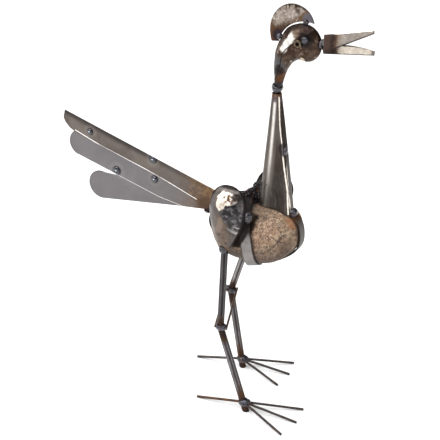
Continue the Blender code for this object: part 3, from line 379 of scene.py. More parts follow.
class Wire:
    """Output of a node, with arithmetic on it: each sum adds a Math node to the same finish."""

    def __init__(self, bench, socket):
        self.bench = bench
        self.socket = socket

    def sum(self, operation, *terms):
        """Math node over the given terms."""
        return self.bench.node("ShaderNodeMath", {"operation": operation}, dict(enumerate(terms)))

    def __add__(self, other):
        return self.sum("ADD", self, other)

    __radd__ = __add__

    def __sub__(self, other):
        return self.sum("SUBTRACT", self, other)

    def __rsub__(self, other):
        return self.sum("SUBTRACT", other, self)

    def __mul__(self, other):
        return self.sum("MULTIPLY", self, other)

    __rmul__ = __mul__

    def __truediv__(self, other):
        return self.sum("DIVIDE", self, other)

    def __pow__(self, other):
        return self.sum("POWER", self, other)

    def __abs__(self):
        return self.sum("ABSOLUTE", self)

    def least(self, other):
        """The smaller of two values."""
        return self.sum("MINIMUM", self, other)

    def most(self, other):
        """The larger of two values."""
        return self.sum("MAXIMUM", self, other)

    def fade(self, start, end):
        """Soft change from 1 at start to 0 at end."""
        return self.ramp(start, end, 1.0, 0.0)

    def ramp(self, start, end, low=0.0, high=1.0):
        """Soft change from low at start to high at end."""
        return self.bench.node("ShaderNodeMapRange", {"interpolation_type": "SMOOTHSTEP"},
                               {"Value": self, "From Min": start, "From Max": end,
                                "To Min": low, "To Max": high})


class Bench:
    """One finish being mixed: a material, its nodes and the piece's own coordinates."""

    def __init__(self, name):
        self.finish = bpy.data.materials.new(name)
        self.finish.use_nodes = True
        self.tree = self.finish.node_tree
        self.shader = self.tree.nodes["Principled BSDF"]
        self.colour = None
        packed = self.node("ShaderNodeTexCoord", {}, {}, "Object")
        self.place = self.node("ShaderNodeVectorMath", {"operation": "SUBTRACT"},
                               {0: packed, 1: tuple(HOME)})

    def node(self, kind, settings, values, output=0):
        """Any node: its type, its settings, what its sockets get, and which output is wanted."""
        made = self.tree.nodes.new(kind)
        for key, value in settings.items():
            if key == "stops":
                for k, (spot, colour) in enumerate(value):
                    stop = made.color_ramp.elements[k] if k < 2 else made.color_ramp.elements.new(spot)
                    stop.position = spot
                    stop.color = (*colour, 1.0)
            else:
                setattr(made, key, value)
        for key, value in values.items():
            self.feed(made.inputs[key], value)
        return Wire(self, made.outputs[output])

    def feed(self, socket, value):
        """Link a wire to a socket, or set a plain number or colour on it."""
        if isinstance(value, Wire):
            self.tree.links.new(value.socket, socket)
        elif socket.type == "RGBA":
            socket.default_value = (*value[:3], 1.0)
        else:
            socket.default_value = value

    def blend(self, share, first, second, way="MIX"):
        """Colour mixed from two others."""
        return self.node("ShaderNodeMix", {"data_type": "RGBA", "blend_type": way, "clamp_factor": True},
                         {0: share, 6: first, 7: second}, 2)

    def lay(self, share, tone, way="MIX"):
        """Lay a colour over what the finish has so far; share is how much of it shows."""
        self.colour = self.blend(share, self.colour, tone, way)

    def spot(self, point, reach, feather, ragged, share, tone):
        """Lay a colour within reach of a point, thinning out over the feather; ragged shifts its edge."""
        self.lay((self.away(point) + ragged).fade(reach, reach + feather) * share, tone)

    def stretched(self, scale):
        """Place with each axis multiplied, so that a pattern runs long along some of them."""
        return self.node("ShaderNodeVectorMath", {"operation": "MULTIPLY"}, {0: self.place, 1: scale})

    def cloud(self, size, detail=3.0, roughness=0.55, place=None, distortion=0.0):
        """Cloudy value from 0 to 1 with swells of the given size."""
        return self.node("ShaderNodeTexNoise", {},
                         {"Vector": place or self.place, "Scale": 1.0 / size, "Detail": detail,
                          "Roughness": roughness, "Distortion": distortion}, "Fac")

    def rag(self, size, amount, detail=4.0):
        """Cloudy shift, of half the amount either way, that makes an edge ragged."""
        return (self.cloud(size, detail) - 0.5) * amount

    def cells(self, size, output="Distance", place=None):
        """Cell pattern with cells of the given size."""
        return self.node("ShaderNodeTexVoronoi", {},
                         {"Vector": place or self.place, "Scale": 1.0 / size}, output)

    def along(self, way, start=(0.0, 0.0, 0.0)):
        """Distance travelled along a direction from a point."""
        way = unit(way)
        shift = float(np.dot(way, start))
        return self.node("ShaderNodeVectorMath", {"operation": "DOT_PRODUCT"},
                         {0: self.place, 1: tuple(way)}, "Value") - shift

    def away(self, point):
        """Distance from a point."""
        return self.node("ShaderNodeVectorMath", {"operation": "DISTANCE"},
                         {0: self.place, 1: tuple(point)}, "Value")

    def off_line(self, start, end):
        """Distance from the line through two points."""
        way = unit(np.asarray(end) - np.asarray(start))
        arm = self.node("ShaderNodeVectorMath", {"operation": "SUBTRACT"}, {0: self.place, 1: tuple(start)})
        swung = self.node("ShaderNodeVectorMath", {"operation": "CROSS_PRODUCT"}, {0: arm, 1: tuple(way)})
        return self.node("ShaderNodeVectorMath", {"operation": "LENGTH"}, {0: swung}, "Value")

    def stirred(self, size, amount):
        """Place shifted here and there, so that a pattern loses its regular look."""
        noise = self.node("ShaderNodeTexNoise", {},
                          {"Vector": self.place, "Scale": 1.0 / size, "Detail": 3.0}, "Color")
        shift = self.node("ShaderNodeVectorMath", {"operation": "SUBTRACT"}, {0: noise, 1: (0.5, 0.5, 0.5)})
        shift = self.node("ShaderNodeVectorMath", {"operation": "SCALE"}, {0: shift, "Scale": amount})
        return self.node("ShaderNodeVectorMath", {"operation": "ADD"}, {0: self.place, 1: shift})

    def beside(self, path):
        """Distance, seen from the side, from a run of places given as x and z."""
        best = None
        for (x0, z0), (x1, z1) in zip(path[:-1], path[1:]):
            run = math.hypot(x1 - x0, z1 - z0)
            way = ((x1 - x0) / run, 0.0, (z1 - z0) / run)
            off = abs(self.along((-way[2], 0.0, way[0]), (x0, 0.0, z0)))
            over = self.along(way, (x0, 0.0, z0))
            gap = off + (0.0 - over).most(over - run).most(0.0)
            best = gap if best is None else best.least(gap)
        return best

    def heat(self, spots, reach, strength=1.0):
        """Lay the burn of a weld round each spot: blue, brown, straw, then clean."""
        ragged = (self.cloud(reach * 0.5, 4.0) - 0.5) * (reach * 0.55)
        gap = None
        for spot in spots:
            this = self.away(spot)
            gap = this if gap is None else gap.least(this)
        share = (gap + ragged) / reach
        tint = self.node("ShaderNodeValToRGB",
                         {"stops": ((0.0, (0.040, 0.040, 0.052)), (0.24, (0.050, 0.034, 0.034)),
                                    (0.42, (0.085, 0.038, 0.017)), (0.66, (0.125, 0.066, 0.031)),
                                    (0.88, (0.120, 0.090, 0.066)))}, {0: share}, "Color")
        self.lay(share.ramp(0.45, 1.0, strength, 0.0), tint)

    def done(self, metallic, roughness, height, lift, coat=0.0, coat_roughness=0.1):
        """Set the shader's sockets and give back the material; lift is the relief's full height in metres."""
        relief = self.node("ShaderNodeBump", {}, {"Height": height, "Strength": 1.0, "Distance": lift})
        for socket, value in (("Base Color", self.colour), ("Metallic", metallic), ("Roughness", roughness),
                              ("Normal", relief), ("Coat Weight", coat), ("Coat Roughness", coat_roughness)):
            self.feed(self.shader.inputs[socket], value)
        return self.finish


def worn_steel(bench, light, dark, patch=0.030, grain=None):
    """Lay the colour of worn steel and give its roughness and fine relief: clouds, mottle and pits."""
    broad = bench.cloud(patch, 4.0, 0.6, distortion=0.4)
    fine = bench.cloud(0.0035, 5.0, 0.65)
    tone = broad.ramp(0.32, 0.70) * 0.72 + fine * 0.28
    bench.colour = bench.blend(tone, dark, light)
    pits = bench.cells(0.0085).fade(0.05, 0.115) * bench.cloud(0.02, 2.0).ramp(0.50, 0.62)
    bench.lay(pits * 0.85, (0.018, 0.014, 0.012))
    roughness = 0.27 + fine * 0.16 + pits * 0.3
    relief = fine * 0.5 + bench.cloud(0.0011, 3.0) * 0.4 - pits * 1.2
    if grain is not None:
        scratches = bench.cloud(0.00045, 2.0, 0.5, place=bench.stretched(grain))
        relief = relief + scratches * 0.8
        roughness = roughness + (scratches - 0.5) * 0.12
        bench.lay((scratches - 0.5) * 0.5, light)
    return roughness, relief


# Where the wing stands close over the stone and the hoop, seen from the side: the line along which painted
# shadow is laid on them
WING_SHADE = ((0.0330, 0.4040), (0.0330, 0.3800), (0.0290, 0.3610), (0.0215, 0.3440), (0.0090, 0.3270))


def granite(look):
    """Coarse river stone: tan and pink grains, black and cream specks, rust marks by the straps and darker
    beside them; painted shade under the belly, on the top behind the neck, along the crease and by the hoop,
    and painted shadow of the wing.
    """
    bench = Bench("river_stone")
    swirl = bench.cloud(0.045, 3.0, 0.55, distortion=0.6)
    bench.colour = bench.blend(swirl.ramp(0.34, 0.62), look.tan, look.pink)
    rusty = bench.cloud(0.030, 4.0, 0.6).ramp(0.50, 0.70)
    bench.lay(rusty * 0.45, look.rust)
    stirred = bench.stirred(0.0036, 0.0040)
    grains = bench.node("ShaderNodeSeparateColor", {},
                        {0: bench.cells(look.grain, output="Color", place=stirred)}, 0)
    bench.lay(grains.ramp(0.55, 0.98) * 0.42, (0.42, 0.32, 0.23))
    bench.lay(grains.ramp(0.46, 0.05) * 0.66, (0.085, 0.045, 0.026))
    small = bench.cells(look.grain * 0.55, output="Color", place=stirred)
    dark_grains = bench.node("ShaderNodeSeparateColor", {}, {0: small}, 1)
    peppered = bench.cloud(0.016, 3.0, 0.6).ramp(0.40, 0.62, 0.82, 1.02)
    bench.lay(dark_grains.ramp(0.80, 0.90) * peppered * 0.92, (0.024, 0.019, 0.017))
    bench.lay(dark_grains.ramp(0.10, 0.04) * 0.45, (0.54, 0.45, 0.36))
    fine = bench.cloud(0.0019, 4.0, 0.75)
    bench.lay((fine - 0.50) * 1.5, (0.46, 0.36, 0.27))
    bench.lay((0.48 - fine) * 2.8, (0.045, 0.028, 0.018))
    patchy = bench.cloud(0.020, 4.0, 0.6)
    bench.lay(patchy.ramp(0.52, 0.70) * 0.50, (0.075, 0.042, 0.026))
    # Painted shade along the crease
    crease = bench.beside(((0.0905, 0.3515), (0.0830, 0.3420), (0.0720, 0.3270))) + (patchy - 0.5) * 0.008
    crease = (crease + (fine - 0.5) * 0.006).ramp(0.0000, 0.0050, 0.60, 0.0)
    crease = crease * bench.along(LEFT).ramp(-0.020, -0.028)
    bench.lay(crease, (0.028, 0.015, 0.010))
    bench.spot((0.092, -0.035, 0.3285), 0.010, 0.012, (patchy - 0.5) * 0.03, 0.60, (0.062, 0.032, 0.019))
    bench.spot((0.0965, -0.012, 0.3690), 0.008, 0.012, (patchy - 0.5) * 0.02, 0.65, (0.270, 0.105, 0.034))
    # Painted shade under the belly and on the top behind the neck, darker beside the straps, painted shade
    # along the hoop and painted shadow of the wing
    shade_ragged = bench.cloud(0.012, 4.0)
    level = bench.along(UP) + (shade_ragged - 0.5) * 0.020
    bench.lay(level.ramp(0.344, 0.298) * 0.80, (0.034, 0.020, 0.013))
    shoulder = level.ramp(0.368, 0.388) * bench.along(FORWARD).ramp(0.080, 0.044)
    bench.lay(shoulder * 0.60, (0.050, 0.031, 0.020))
    hoop = abs(bench.along(hoop_side(), HOOP_MIDDLE)) + (shade_ragged - 0.5) * 0.010
    belly = abs(bench.along(LEFT)) + (shade_ragged - 0.5) * 0.010
    touched = hoop.least(belly).fade(0.0096, 0.0140)
    bench.lay(touched * 0.80, (0.050, 0.028, 0.018))
    shade = hoop.fade(0.0095, 0.0185) * level.ramp(0.340, 0.366)
    bench.lay(shade * 0.84, (0.030, 0.017, 0.011))
    behind = (bench.away((0.016, -0.058, 0.368)) + (shade_ragged - 0.5) * 0.010).fade(0.024, 0.032)
    behind = behind.most((bench.beside(WING_SHADE) + (shade_ragged - 0.5) * 0.006).fade(0.0070, 0.0130)
                         * bench.along(LEFT).ramp(-0.030, -0.036))
    bench.lay(behind * 0.94, (0.012, 0.008, 0.006))
    relief = fine * 0.7 + bench.cloud(0.0042, 3.0) * 0.9 - dark_grains.ramp(0.80, 0.90) * 0.5
    # The wing's painted shadow also makes the stone metallic there, so that it stays dark
    return bench.done(behind * 0.9, 0.62 + fine * 0.25, relief, 0.0010)


def hoop_side():
    """Direction across the hoop's own plane."""
    yaw = math.radians(HOOP_YAW)
    tilt = math.radians(HOOP_TILT)
    return np.array([math.cos(yaw) * math.cos(tilt), math.sin(yaw) * math.cos(tilt), -math.sin(tilt)])


def strap_steel(look, node):
    """Flat bar: even grey mill face, painted shade along its edges, darker at the front and the rear, brown
    near the welds, painted shadow up by the wing.
    """
    bench = Bench(node + "_steel")
    roughness, relief = worn_steel(bench, look.strap, (0.130, 0.118, 0.112), 0.018)
    speckle = bench.cloud(0.0009, 2.0).ramp(0.35, 0.75)
    bench.lay(speckle * 0.40, (0.36, 0.34, 0.33))
    ahead = bench.along(FORWARD).ramp(0.070, 0.090)
    bench.lay(ahead * 0.78, (0.060, 0.049, 0.041))
    across = bench.along(LEFT) if node == "long_strap" else bench.along(hoop_side(), HOOP_MIDDLE)
    # Painted shade along both edges of the bar
    sides = (abs(across) + bench.rag(0.005, 0.0016, 3.0)).ramp(0.0074, 0.0090)
    bench.lay(sides * 0.80, (0.022, 0.018, 0.016))
    bench.heat(((0.093, 0.0, 0.383), (-0.020, 0.0, 0.386)), 0.026)
    ragged = bench.rag(0.010, 0.016)
    ahead = bench.along(FORWARD) + ragged
    # Painted shadow on the straps' upper parts and beside the wing's rear rim, made dark and less glossy; the
    # long strap's rear end is darkened as well, with rust in patches
    shadow_and_dark_rear = (bench.along(UP) + ragged * 0.6).ramp(0.341, 0.357) * ahead.ramp(0.074, 0.060)
    close = (bench.beside(WING_SHADE) + ragged * 0.3).fade(0.0065, 0.0110)
    shadow_and_dark_rear = shadow_and_dark_rear.most(close * bench.along(LEFT).ramp(-0.030, -0.036)).most(ahead.ramp(-0.030, -0.050)) * 0.98
    bench.lay(shadow_and_dark_rear, (0.006, 0.004, 0.004))
    rusty = bench.cloud(0.008, 4.0).ramp(0.54, 0.64)
    bench.lay(shadow_and_dark_rear * rusty * 0.55, (0.070, 0.026, 0.011))
    return bench.done(0.85 - shadow_and_dark_rear * 0.25, roughness + 0.12 + shadow_and_dark_rear * 0.35, relief, 0.00025)


# Lines down the neck's roll and down its seam, as x and z, along which painted highlights run
NECK_STREAK = ((0.0416, 0.3845), (0.0461, 0.4344), (0.0499, 0.4829), (0.0531, 0.5340), (0.0550, 0.5764),
               (0.0556, 0.5860))
NECK_SEAM = ((0.0862, 0.3805), (0.0823, 0.4243), (0.0751, 0.4679), (0.0704, 0.5027), (0.0656, 0.5368),
             (0.0623, 0.5760), (0.0616, 0.5840))


def neck_steel(look):
    """Dark rolled sheet with brushed scratches, pits, and burnt bands at its top; painted highlights down its
    roll and its seam, painted shade on its front face.
    """
    bench = Bench("neck_sheet")
    roughness, relief = worn_steel(bench, look.sheet, (0.050, 0.042, 0.037), 0.060, (1.0, 1.0, 0.05))
    bench.spot((0.064, -0.011, 0.478), 0.016, 0.026, bench.rag(0.020, 0.02), 0.70, (0.034, 0.023, 0.019))
    slanted = bench.node("ShaderNodeMapping", {}, {"Vector": bench.place, "Rotation": (0.0, 0.9, 0.0),
                                                   "Scale": (1.0, 1.0, 0.05)})
    scratches = bench.cloud(0.0011, 1.0, 0.4, place=slanted)
    bench.lay(scratches.ramp(0.64, 0.70) * 0.35, (0.210, 0.190, 0.175))
    # Painted highlight: the roll at the back is lighter than the flat side, with a pale line down it, most of
    # all near the top
    height = bench.along(UP)
    ragged = bench.rag(0.006, 0.0012, 3.0)
    streak = bench.beside(NECK_STREAK)
    rolled = streak.fade(0.0030, 0.0115) * height.ramp(0.560, 0.430)
    bench.lay(rolled * 0.85, (0.190, 0.168, 0.148))
    roll_highlight = (streak + ragged).fade(0.0002, 0.0042) * height.ramp(0.385, 0.530, 0.30, 1.0)
    bench.lay(roll_highlight * 0.95, (0.70, 0.66, 0.62))
    # Painted shade on the narrow front face past the seam, darkest at its far edge; it is also made rougher
    # and less metallic below
    edge = bench.along((1.0, 0.0, 0.1447), (0.0882, 0.0, 0.3839))
    front = edge.ramp(0.0002, 0.0012)
    streaky = bench.cloud(0.0016, 2.0, 0.5, place=bench.stretched((1.0, 1.0, 0.06))).ramp(0.40, 0.62)
    bench.lay(front * 0.92, bench.blend(streaky, (0.020, 0.014, 0.011), (0.046, 0.033, 0.026)))
    bench.lay(edge.ramp(0.0062, 0.0080) * 0.85, (0.010, 0.007, 0.006))
    bench.heat(((0.0560, -0.004, 0.600),), 0.032, 0.9)
    banded = abs(height - 0.5790 + ragged).fade(0.0030, 0.0060)
    bench.lay(banded * 0.75, (0.070, 0.058, 0.066))
    bench.heat(((0.0960, 0.0, 0.380),), 0.018, 0.8)
    # Painted highlight down the seam's corner, only on the near side
    bright_line = (bench.beside(NECK_SEAM) + ragged * 1.3).fade(0.0003, 0.0014)
    near_side = bench.along(LEFT)
    facing = near_side.ramp(-0.002, -0.004).most(near_side.ramp(-0.0010, -0.0028) * height.ramp(0.410, 0.400))
    bright_line = bright_line * facing * height.ramp(0.588, 0.582)
    bench.lay(bright_line * 0.95, (0.88, 0.81, 0.72))
    bench.spot((0.0763, -0.0110, 0.4950), 0.0105, 0.0035, bench.rag(0.004, 0.004), 0.9, (0.022, 0.016, 0.016))
    for x, z in ((0.0364, 0.4148), (0.0437, 0.4257), (0.0405, 0.4205), (0.0390, 0.4290), (0.0815, 0.4120),
                 (0.0700, 0.4470)):
        pit = (bench.beside(((x, z), (x + 0.0006, z + 0.0004))) + ragged * 0.5).fade(0.0005, 0.0012)
        bench.lay(pit * 0.95, (0.008, 0.005, 0.004))
    return bench.done(0.92 - front * 0.25, (roughness - bright_line * 0.05 + front * 0.40).most(0.2),
                      relief, 0.00022)


# Crease between the nape's strip and the face, as x and z
CREASE = ((0.0560, 0.6160), (0.0620, 0.6300), (0.0654, 0.6490), (0.0680, 0.6600), (0.0735, 0.6680),
          (0.0840, 0.6775), (0.0905, 0.6810))


def head_steel(look):
    """Hammered head: brown all over, a painted highlight down the nape, a blue-grey band behind it."""
    bench = Bench("beaten_head")
    roughness, relief = worn_steel(bench, look.head, (0.024, 0.015, 0.011), 0.013)
    ragged = bench.rag(0.007, 0.010)
    burnt = bench.cloud(0.016, 4.0, 0.6).ramp(0.44, 0.60)
    bench.lay(burnt * 0.80, (0.030, 0.013, 0.007))
    lit = bench.cloud(0.0075, 4.0, 0.6, distortion=0.5).ramp(0.57, 0.64)
    bench.lay(lit * 0.65, (0.200, 0.145, 0.105))
    brow = bench.along(UP, (0.0, 0.0, 0.6940)).ramp(-0.006, 0.004)
    bench.lay(brow * 0.88, (0.018, 0.009, 0.006))
    for spot in ((0.0838, -0.0125, 0.6456), (0.0900, -0.0130, 0.6480), (0.1029, -0.0120, 0.6530)):
        bench.spot(spot, 0.0040, 0.0026, ragged * 0.65, 0.92, (0.66, 0.55, 0.41))
    bench.spot((0.054, -0.008, 0.636), 0.011, 0.014, ragged, 0.9, (0.074, 0.070, 0.074))
    bench.spot((0.0655, -0.009, 0.6190), 0.0080, 0.006, ragged, 0.90, (0.075, 0.029, 0.010))
    bench.spot((0.0610, -0.009, 0.6310), 0.0065, 0.005, ragged, 0.94, (0.010, 0.007, 0.007))
    scorched = bench.along(UP, (0.0, 0.0, 0.6080)) + ragged * 0.5
    bench.lay(scorched.ramp(0.0045, -0.0010) * 0.92, (0.022, 0.018, 0.020))
    # Painted highlight down the nape, also made a little less rough and less metallic below
    nape_ragged = (bench.cloud(0.009, 5.0, 0.65) - 0.5) * 0.010
    nape = bench.off_line((0.0680, -0.0115, 0.6664), (0.0880, -0.0125, 0.6970)) + nape_ragged
    length = bench.along((0.0200, 0.0, 0.0306), (0.0680, 0.0, 0.6664))
    bright = nape.fade(0.0036, 0.0078) * length.ramp(-0.006, 0.002) * length.fade(0.028, 0.038)
    bench.lay(bright * 0.96, (0.90, 0.85, 0.78))
    bench.spot((0.0905, -0.012, 0.6960), 0.003, 0.007, nape_ragged, 0.75, (0.150, 0.105, 0.075))
    # Painted shade in the crease behind the face
    bench.lay(bench.beside(CREASE).fade(0.0005, 0.0018) * 0.92, (0.014, 0.010, 0.009))
    for spot, reach in (((0.1075, -0.0165, 0.6896), 0.017), ((0.1075, 0.0165, 0.6896), 0.017),
                        ((0.133, 0.0, 0.682), 0.013), ((0.103, 0.0, 0.714), 0.012),
                        ((0.058, 0.0, 0.684), 0.008)):
        bench.spot(spot, reach * 0.55, reach * 0.45, ragged * 0.5, 0.94, (0.014, 0.010, 0.010))
    rough = (roughness - bright * 0.06 + burnt * 0.08 + brow * 0.10).most(0.16)
    return bench.done(0.95 - bright * 0.15, rough, relief, 0.00035, 0.10, 0.12)


def crest_steel(look):
    """Crest plate: tan and silver with dark nicks fanning in from the rim, blue at its front weld."""
    bench = Bench("crest_plate")
    roughness, relief = worn_steel(bench, look.crest, (0.190, 0.145, 0.110), 0.014)
    out = bench.away((CREST_MIDDLE[0], -0.0015, CREST_MIDDLE[1]))
    across = bench.along(FORWARD, (CREST_MIDDLE[0], 0.0, 0.0))
    rise = bench.along(UP, (0.0, 0.0, CREST_MIDDLE[1]))
    turn = rise.sum("ARCTAN2", rise, across)
    polar = bench.node("ShaderNodeCombineXYZ", {}, {0: turn * 10.0, 1: out * 70.0, 2: 0.0})
    streaks = bench.node("ShaderNodeTexNoise", {}, {"Vector": polar, "Scale": 1.0, "Detail": 3.0,
                                                    "Roughness": 0.6}, "Fac")
    silvered = bench.cloud(0.005, 5.0, 0.7).ramp(0.50, 0.62)
    bench.lay(silvered * 0.60, (0.60, 0.55, 0.51))
    rim = out.ramp(0.0290, 0.0395)
    nicks = streaks.ramp(0.50, 0.57) * (rim * 0.96 + 0.03)
    bench.lay(nicks, (0.022, 0.013, 0.010))
    bench.lay((out + (streaks - 0.5) * 0.006).ramp(0.0374, 0.0396) * 0.85, (0.030, 0.019, 0.015))
    low = bench.cloud(0.008, 4.0)
    inner = bench.away((0.1042, -0.0015, 0.6652)) + (low - 0.5) * 0.012
    fingers = streaks.ramp(0.40, 0.52)
    bench.lay(inner.fade(0.0500, 0.0680) * fingers * 0.92, (0.085, 0.042, 0.021))
    level = bench.along((-0.35, 0.0, 1.0), (0.0610, 0.0, 0.7060)) + (low - 0.5) * 0.012
    behind = bench.along(FORWARD, (0.079, 0.0, 0.0)).fade(-0.004, 0.004)
    bench.lay(level.ramp(-0.0065, 0.0055, 0.95, 0.0) * behind, (0.042, 0.021, 0.013))
    bench.spot((0.044, -0.0015, 0.690), 0.010, 0.012, (low - 0.5) * 0.014, 0.90, (0.085, 0.042, 0.022))
    bench.spot((0.0562, -0.002, 0.6860), 0.0085, 0.005, (low - 0.5) * 0.005, 0.90, (0.020, 0.014, 0.018))
    spots = bench.cells(0.0055).fade(0.14, 0.24) * bench.cloud(0.012, 2.0).ramp(0.46, 0.54)
    bench.lay(spots * 0.90, (0.030, 0.017, 0.012))
    bench.spot((0.0885, -0.002, 0.7290), 0.0030, 0.0030, (low - 0.5) * 0.010, 0.80, (0.040, 0.024, 0.017))
    bench.spot((0.1075, -0.002, 0.7190), 0.0125, 0.005, (low - 0.5) * 0.008, 0.85, (0.105, 0.055, 0.024))
    bench.spot((0.1085, -0.002, 0.7175), 0.0095, 0.004, (low - 0.5) * 0.006, 0.95, (0.105, 0.100, 0.116))
    return bench.done(0.90, roughness + 0.02, relief - nicks * 1.5, 0.00025)


def beak_steel(look, part):
    """Beak plates: tan-grey, burnt dark brown at the base, with a painted highlight along the ridge and
    darker tips.
    """
    bench = Bench(part + "_beak_plate")
    light = look.beak if part == "upper" else look.lower_beak
    roughness, relief = worn_steel(bench, light, tuple(c * 0.55 for c in light), 0.012)
    silvered = bench.cloud(0.0035, 4.0, 0.7).ramp(0.54, 0.66)
    bench.lay(silvered * 0.45, tuple(min(0.85, c * 1.9) for c in light))
    run = bench.along(FORWARD, (BEAK_BASE_X, 0.0, 0.0)) + bench.rag(0.008, 0.010)
    tint = bench.node("ShaderNodeValToRGB",
                      {"stops": ((0.0, (0.028, 0.016, 0.012)), (0.13, (0.024, 0.013, 0.010)),
                                 (0.20, (0.009, 0.005, 0.004)), (0.27, (0.032, 0.016, 0.009)),
                                 (0.36, (0.110, 0.078, 0.054)))}, {0: run / BEAK_LENGTH}, "Color")
    bench.lay(run.fade(0.020, 0.036), tint)
    # Painted highlight along the ridge
    ridge = bench.off_line((0.1337, 0.0, 0.6986), (0.2172, 0.0, 0.7186)).fade(0.0008, 0.0022)
    bench.lay(ridge * 0.8 * run.ramp(0.012, 0.030), (0.90, 0.86, 0.80))
    spots = bench.cells(0.0065).fade(0.08, 0.16) * bench.cloud(0.014, 2.0).ramp(0.48, 0.56)
    bench.lay(spots * 0.85, (0.020, 0.013, 0.011))
    if part == "upper":
        lower_edge = ((0.1387, 0.6722), (0.2172, 0.7122))
    else:
        lower_edge = ((0.1337, 0.6664), (0.2197, 0.6774))
    outline = (bench.beside(lower_edge) + bench.rag(0.004, 0.0012, 3.0)).fade(0.0010, 0.0024)
    bench.lay(outline * 0.90, (0.014, 0.009, 0.007))
    tip = bench.along(FORWARD, (BEAK_TIP_X, 0.0, 0.0)) + bench.rag(0.004, 0.006)
    bench.lay(tip.ramp(-0.0035, -0.0005) * 0.75, (0.055, 0.036, 0.036))
    return bench.done(0.88, roughness + 0.02, relief, 0.00022)


def wing_steel(side):
    """Beaten, glossy shell: one patch of painted reflection, smoky middle, taupe foot, black rim."""
    tip, up, forward, out = wing_frame(side, LEGS["right" if side < 0 else "left"])
    bench = Bench("beaten_wing_" + ("right" if side < 0 else "left"))
    roughness, relief = worn_steel(bench, (0.125, 0.108, 0.098), (0.050, 0.045, 0.044), 0.022)
    p = bench.along(forward, tip)
    q = bench.along(up, tip)
    wild = bench.cloud(0.016, 5.0, 0.6, distortion=0.8) - 0.5
    fine = bench.cloud(0.006, 4.0, 0.6) - 0.5

    def spot(x, y, wide, tall, soft, rag):
        gap = ((((p - x) / wide) ** 2.0) + (((q - y) / tall) ** 2.0)) ** 0.5
        return (gap + wild * rag + fine * (rag * 0.6)).fade(1.0, 1.0 + soft)

    smoky = spot(0.014, 0.071, 0.018, 0.025, 0.35, 1.2)
    bench.lay(smoky * 0.92, (0.022, 0.021, 0.023))
    mottled = (wild + fine * 1.4).ramp(-0.06, 0.26) * smoky
    bench.lay(mottled * 0.75, (0.150, 0.140, 0.145))
    taupe = spot(-0.006, 0.034, 0.015, 0.026, 0.5, 0.9)
    bench.lay(taupe * 0.80, (0.125, 0.090, 0.068))
    clawed = (wild * 1.4 + fine * 1.2).ramp(0.06, 0.22) * taupe
    bench.lay(clawed * 0.85, (0.035, 0.027, 0.024))
    warm = spot(-0.010, 0.056, 0.008, 0.012, 0.7, 1.0)
    bench.lay(warm * 0.55, (0.200, 0.150, 0.115))
    left_band = spot(-0.021, 0.074, 0.010, 0.028, 0.5, 0.6)
    bench.lay(left_band * 0.85, (0.088, 0.074, 0.066))
    # Painted reflection: a creamy patch high on the shell, greyer to its right, also made less metallic
    # below; the marks in it are the steel's own
    mirror = spot(0.002, 0.1010, 0.0160, 0.0095, 0.14, 0.8)
    mirror = mirror.most(spot(-0.0070, 0.0945, 0.0080, 0.0150, 0.20, 0.7))
    creamy = bench.blend((fine * 2.0 + wild).ramp(-0.10, 0.30), (0.80, 0.72, 0.62), (0.42, 0.36, 0.30))
    bench.lay(mirror * 0.97, creamy)
    greyed = mirror * (p + wild * 0.012).ramp(0.007, 0.015)
    bench.lay(greyed * 0.88, (0.200, 0.180, 0.182))
    marks = (wild * 2.0 + fine * 2.4).ramp(0.02, 0.24) * spot(0.008, 0.1050, 0.011, 0.009, 0.6, 0.5)
    bench.lay(mirror * marks * 0.95, (0.085, 0.038, 0.016))
    bench.lay(spot(0.0170, 0.1060, 0.0070, 0.0050, 0.5, 1.4) * 0.75, (0.016, 0.012, 0.012))
    arcs = ((((p - 0.030) ** 2.0) + ((q - 0.066) ** 2.0)) ** 0.5) + wild * 0.004
    streak = arcs.ramp(0.0205, 0.0225) * arcs.fade(0.0255, 0.0275) * q.fade(0.030, 0.056)
    streak = streak.most(arcs.ramp(0.0125, 0.0135) * arcs.fade(0.0150, 0.0165)
                         * q.fade(0.045, 0.060))
    bench.lay(streak * 0.85, (0.55, 0.50, 0.46))
    edge = wing_edge(p, q)
    upper_edge = edge.most((q - WING_CROWN) / (WING_HEIGHT - WING_CROWN))
    rim = (upper_edge + wild * 0.05 + fine * 0.04).ramp(0.85, 0.92)
    rim = rim * (q.ramp(0.070, 0.105).most((p + q * 0.10).ramp(0.0, 0.012)))
    bench.lay(rim * 0.96, (0.008, 0.006, 0.006))
    brown = (edge + wild * 0.16).ramp(0.86, 0.98) * q.ramp(0.070, 0.030) * p.ramp(0.004, -0.004)
    bench.lay(brown * 0.75, (0.120, 0.052, 0.024))
    bench.heat((tip + up * 0.004,), 0.017)
    rough = (roughness + mirror * 0.06 - smoky * 0.04 + rim * 0.2).most(0.12)
    return bench.done(0.95 - mirror * 0.20, rough, relief, 0.00030, 0.08, 0.12)


def wing_edge(p, q):
    """Share of the way from the wing's middle line out to its rim, from its flat coordinates."""
    height = (q / WING_HEIGHT).most(0.001).least(0.999)
    round_half = ((height * (1.0 - height)) ** 0.5) * 2.0 * WING_HALF_WIDTH
    half = round_half * (1.0 - WING_EGG * (1.0 - height * 2.0)) / WING_FILL
    return abs(p) / half.most(0.002)


# Lower edges of the two upper blades, as x and z, along which a thin pale line is laid
BLADE_EDGES = (((-0.3450, 0.4478), (-0.2900, 0.4272), (-0.2550, 0.4170), (-0.2000, 0.4010),
                (-0.1500, 0.3842), (-0.0960, 0.3640)),
               ((-0.3449, 0.4002), (-0.1751, 0.3515), (-0.1261, 0.3431)))


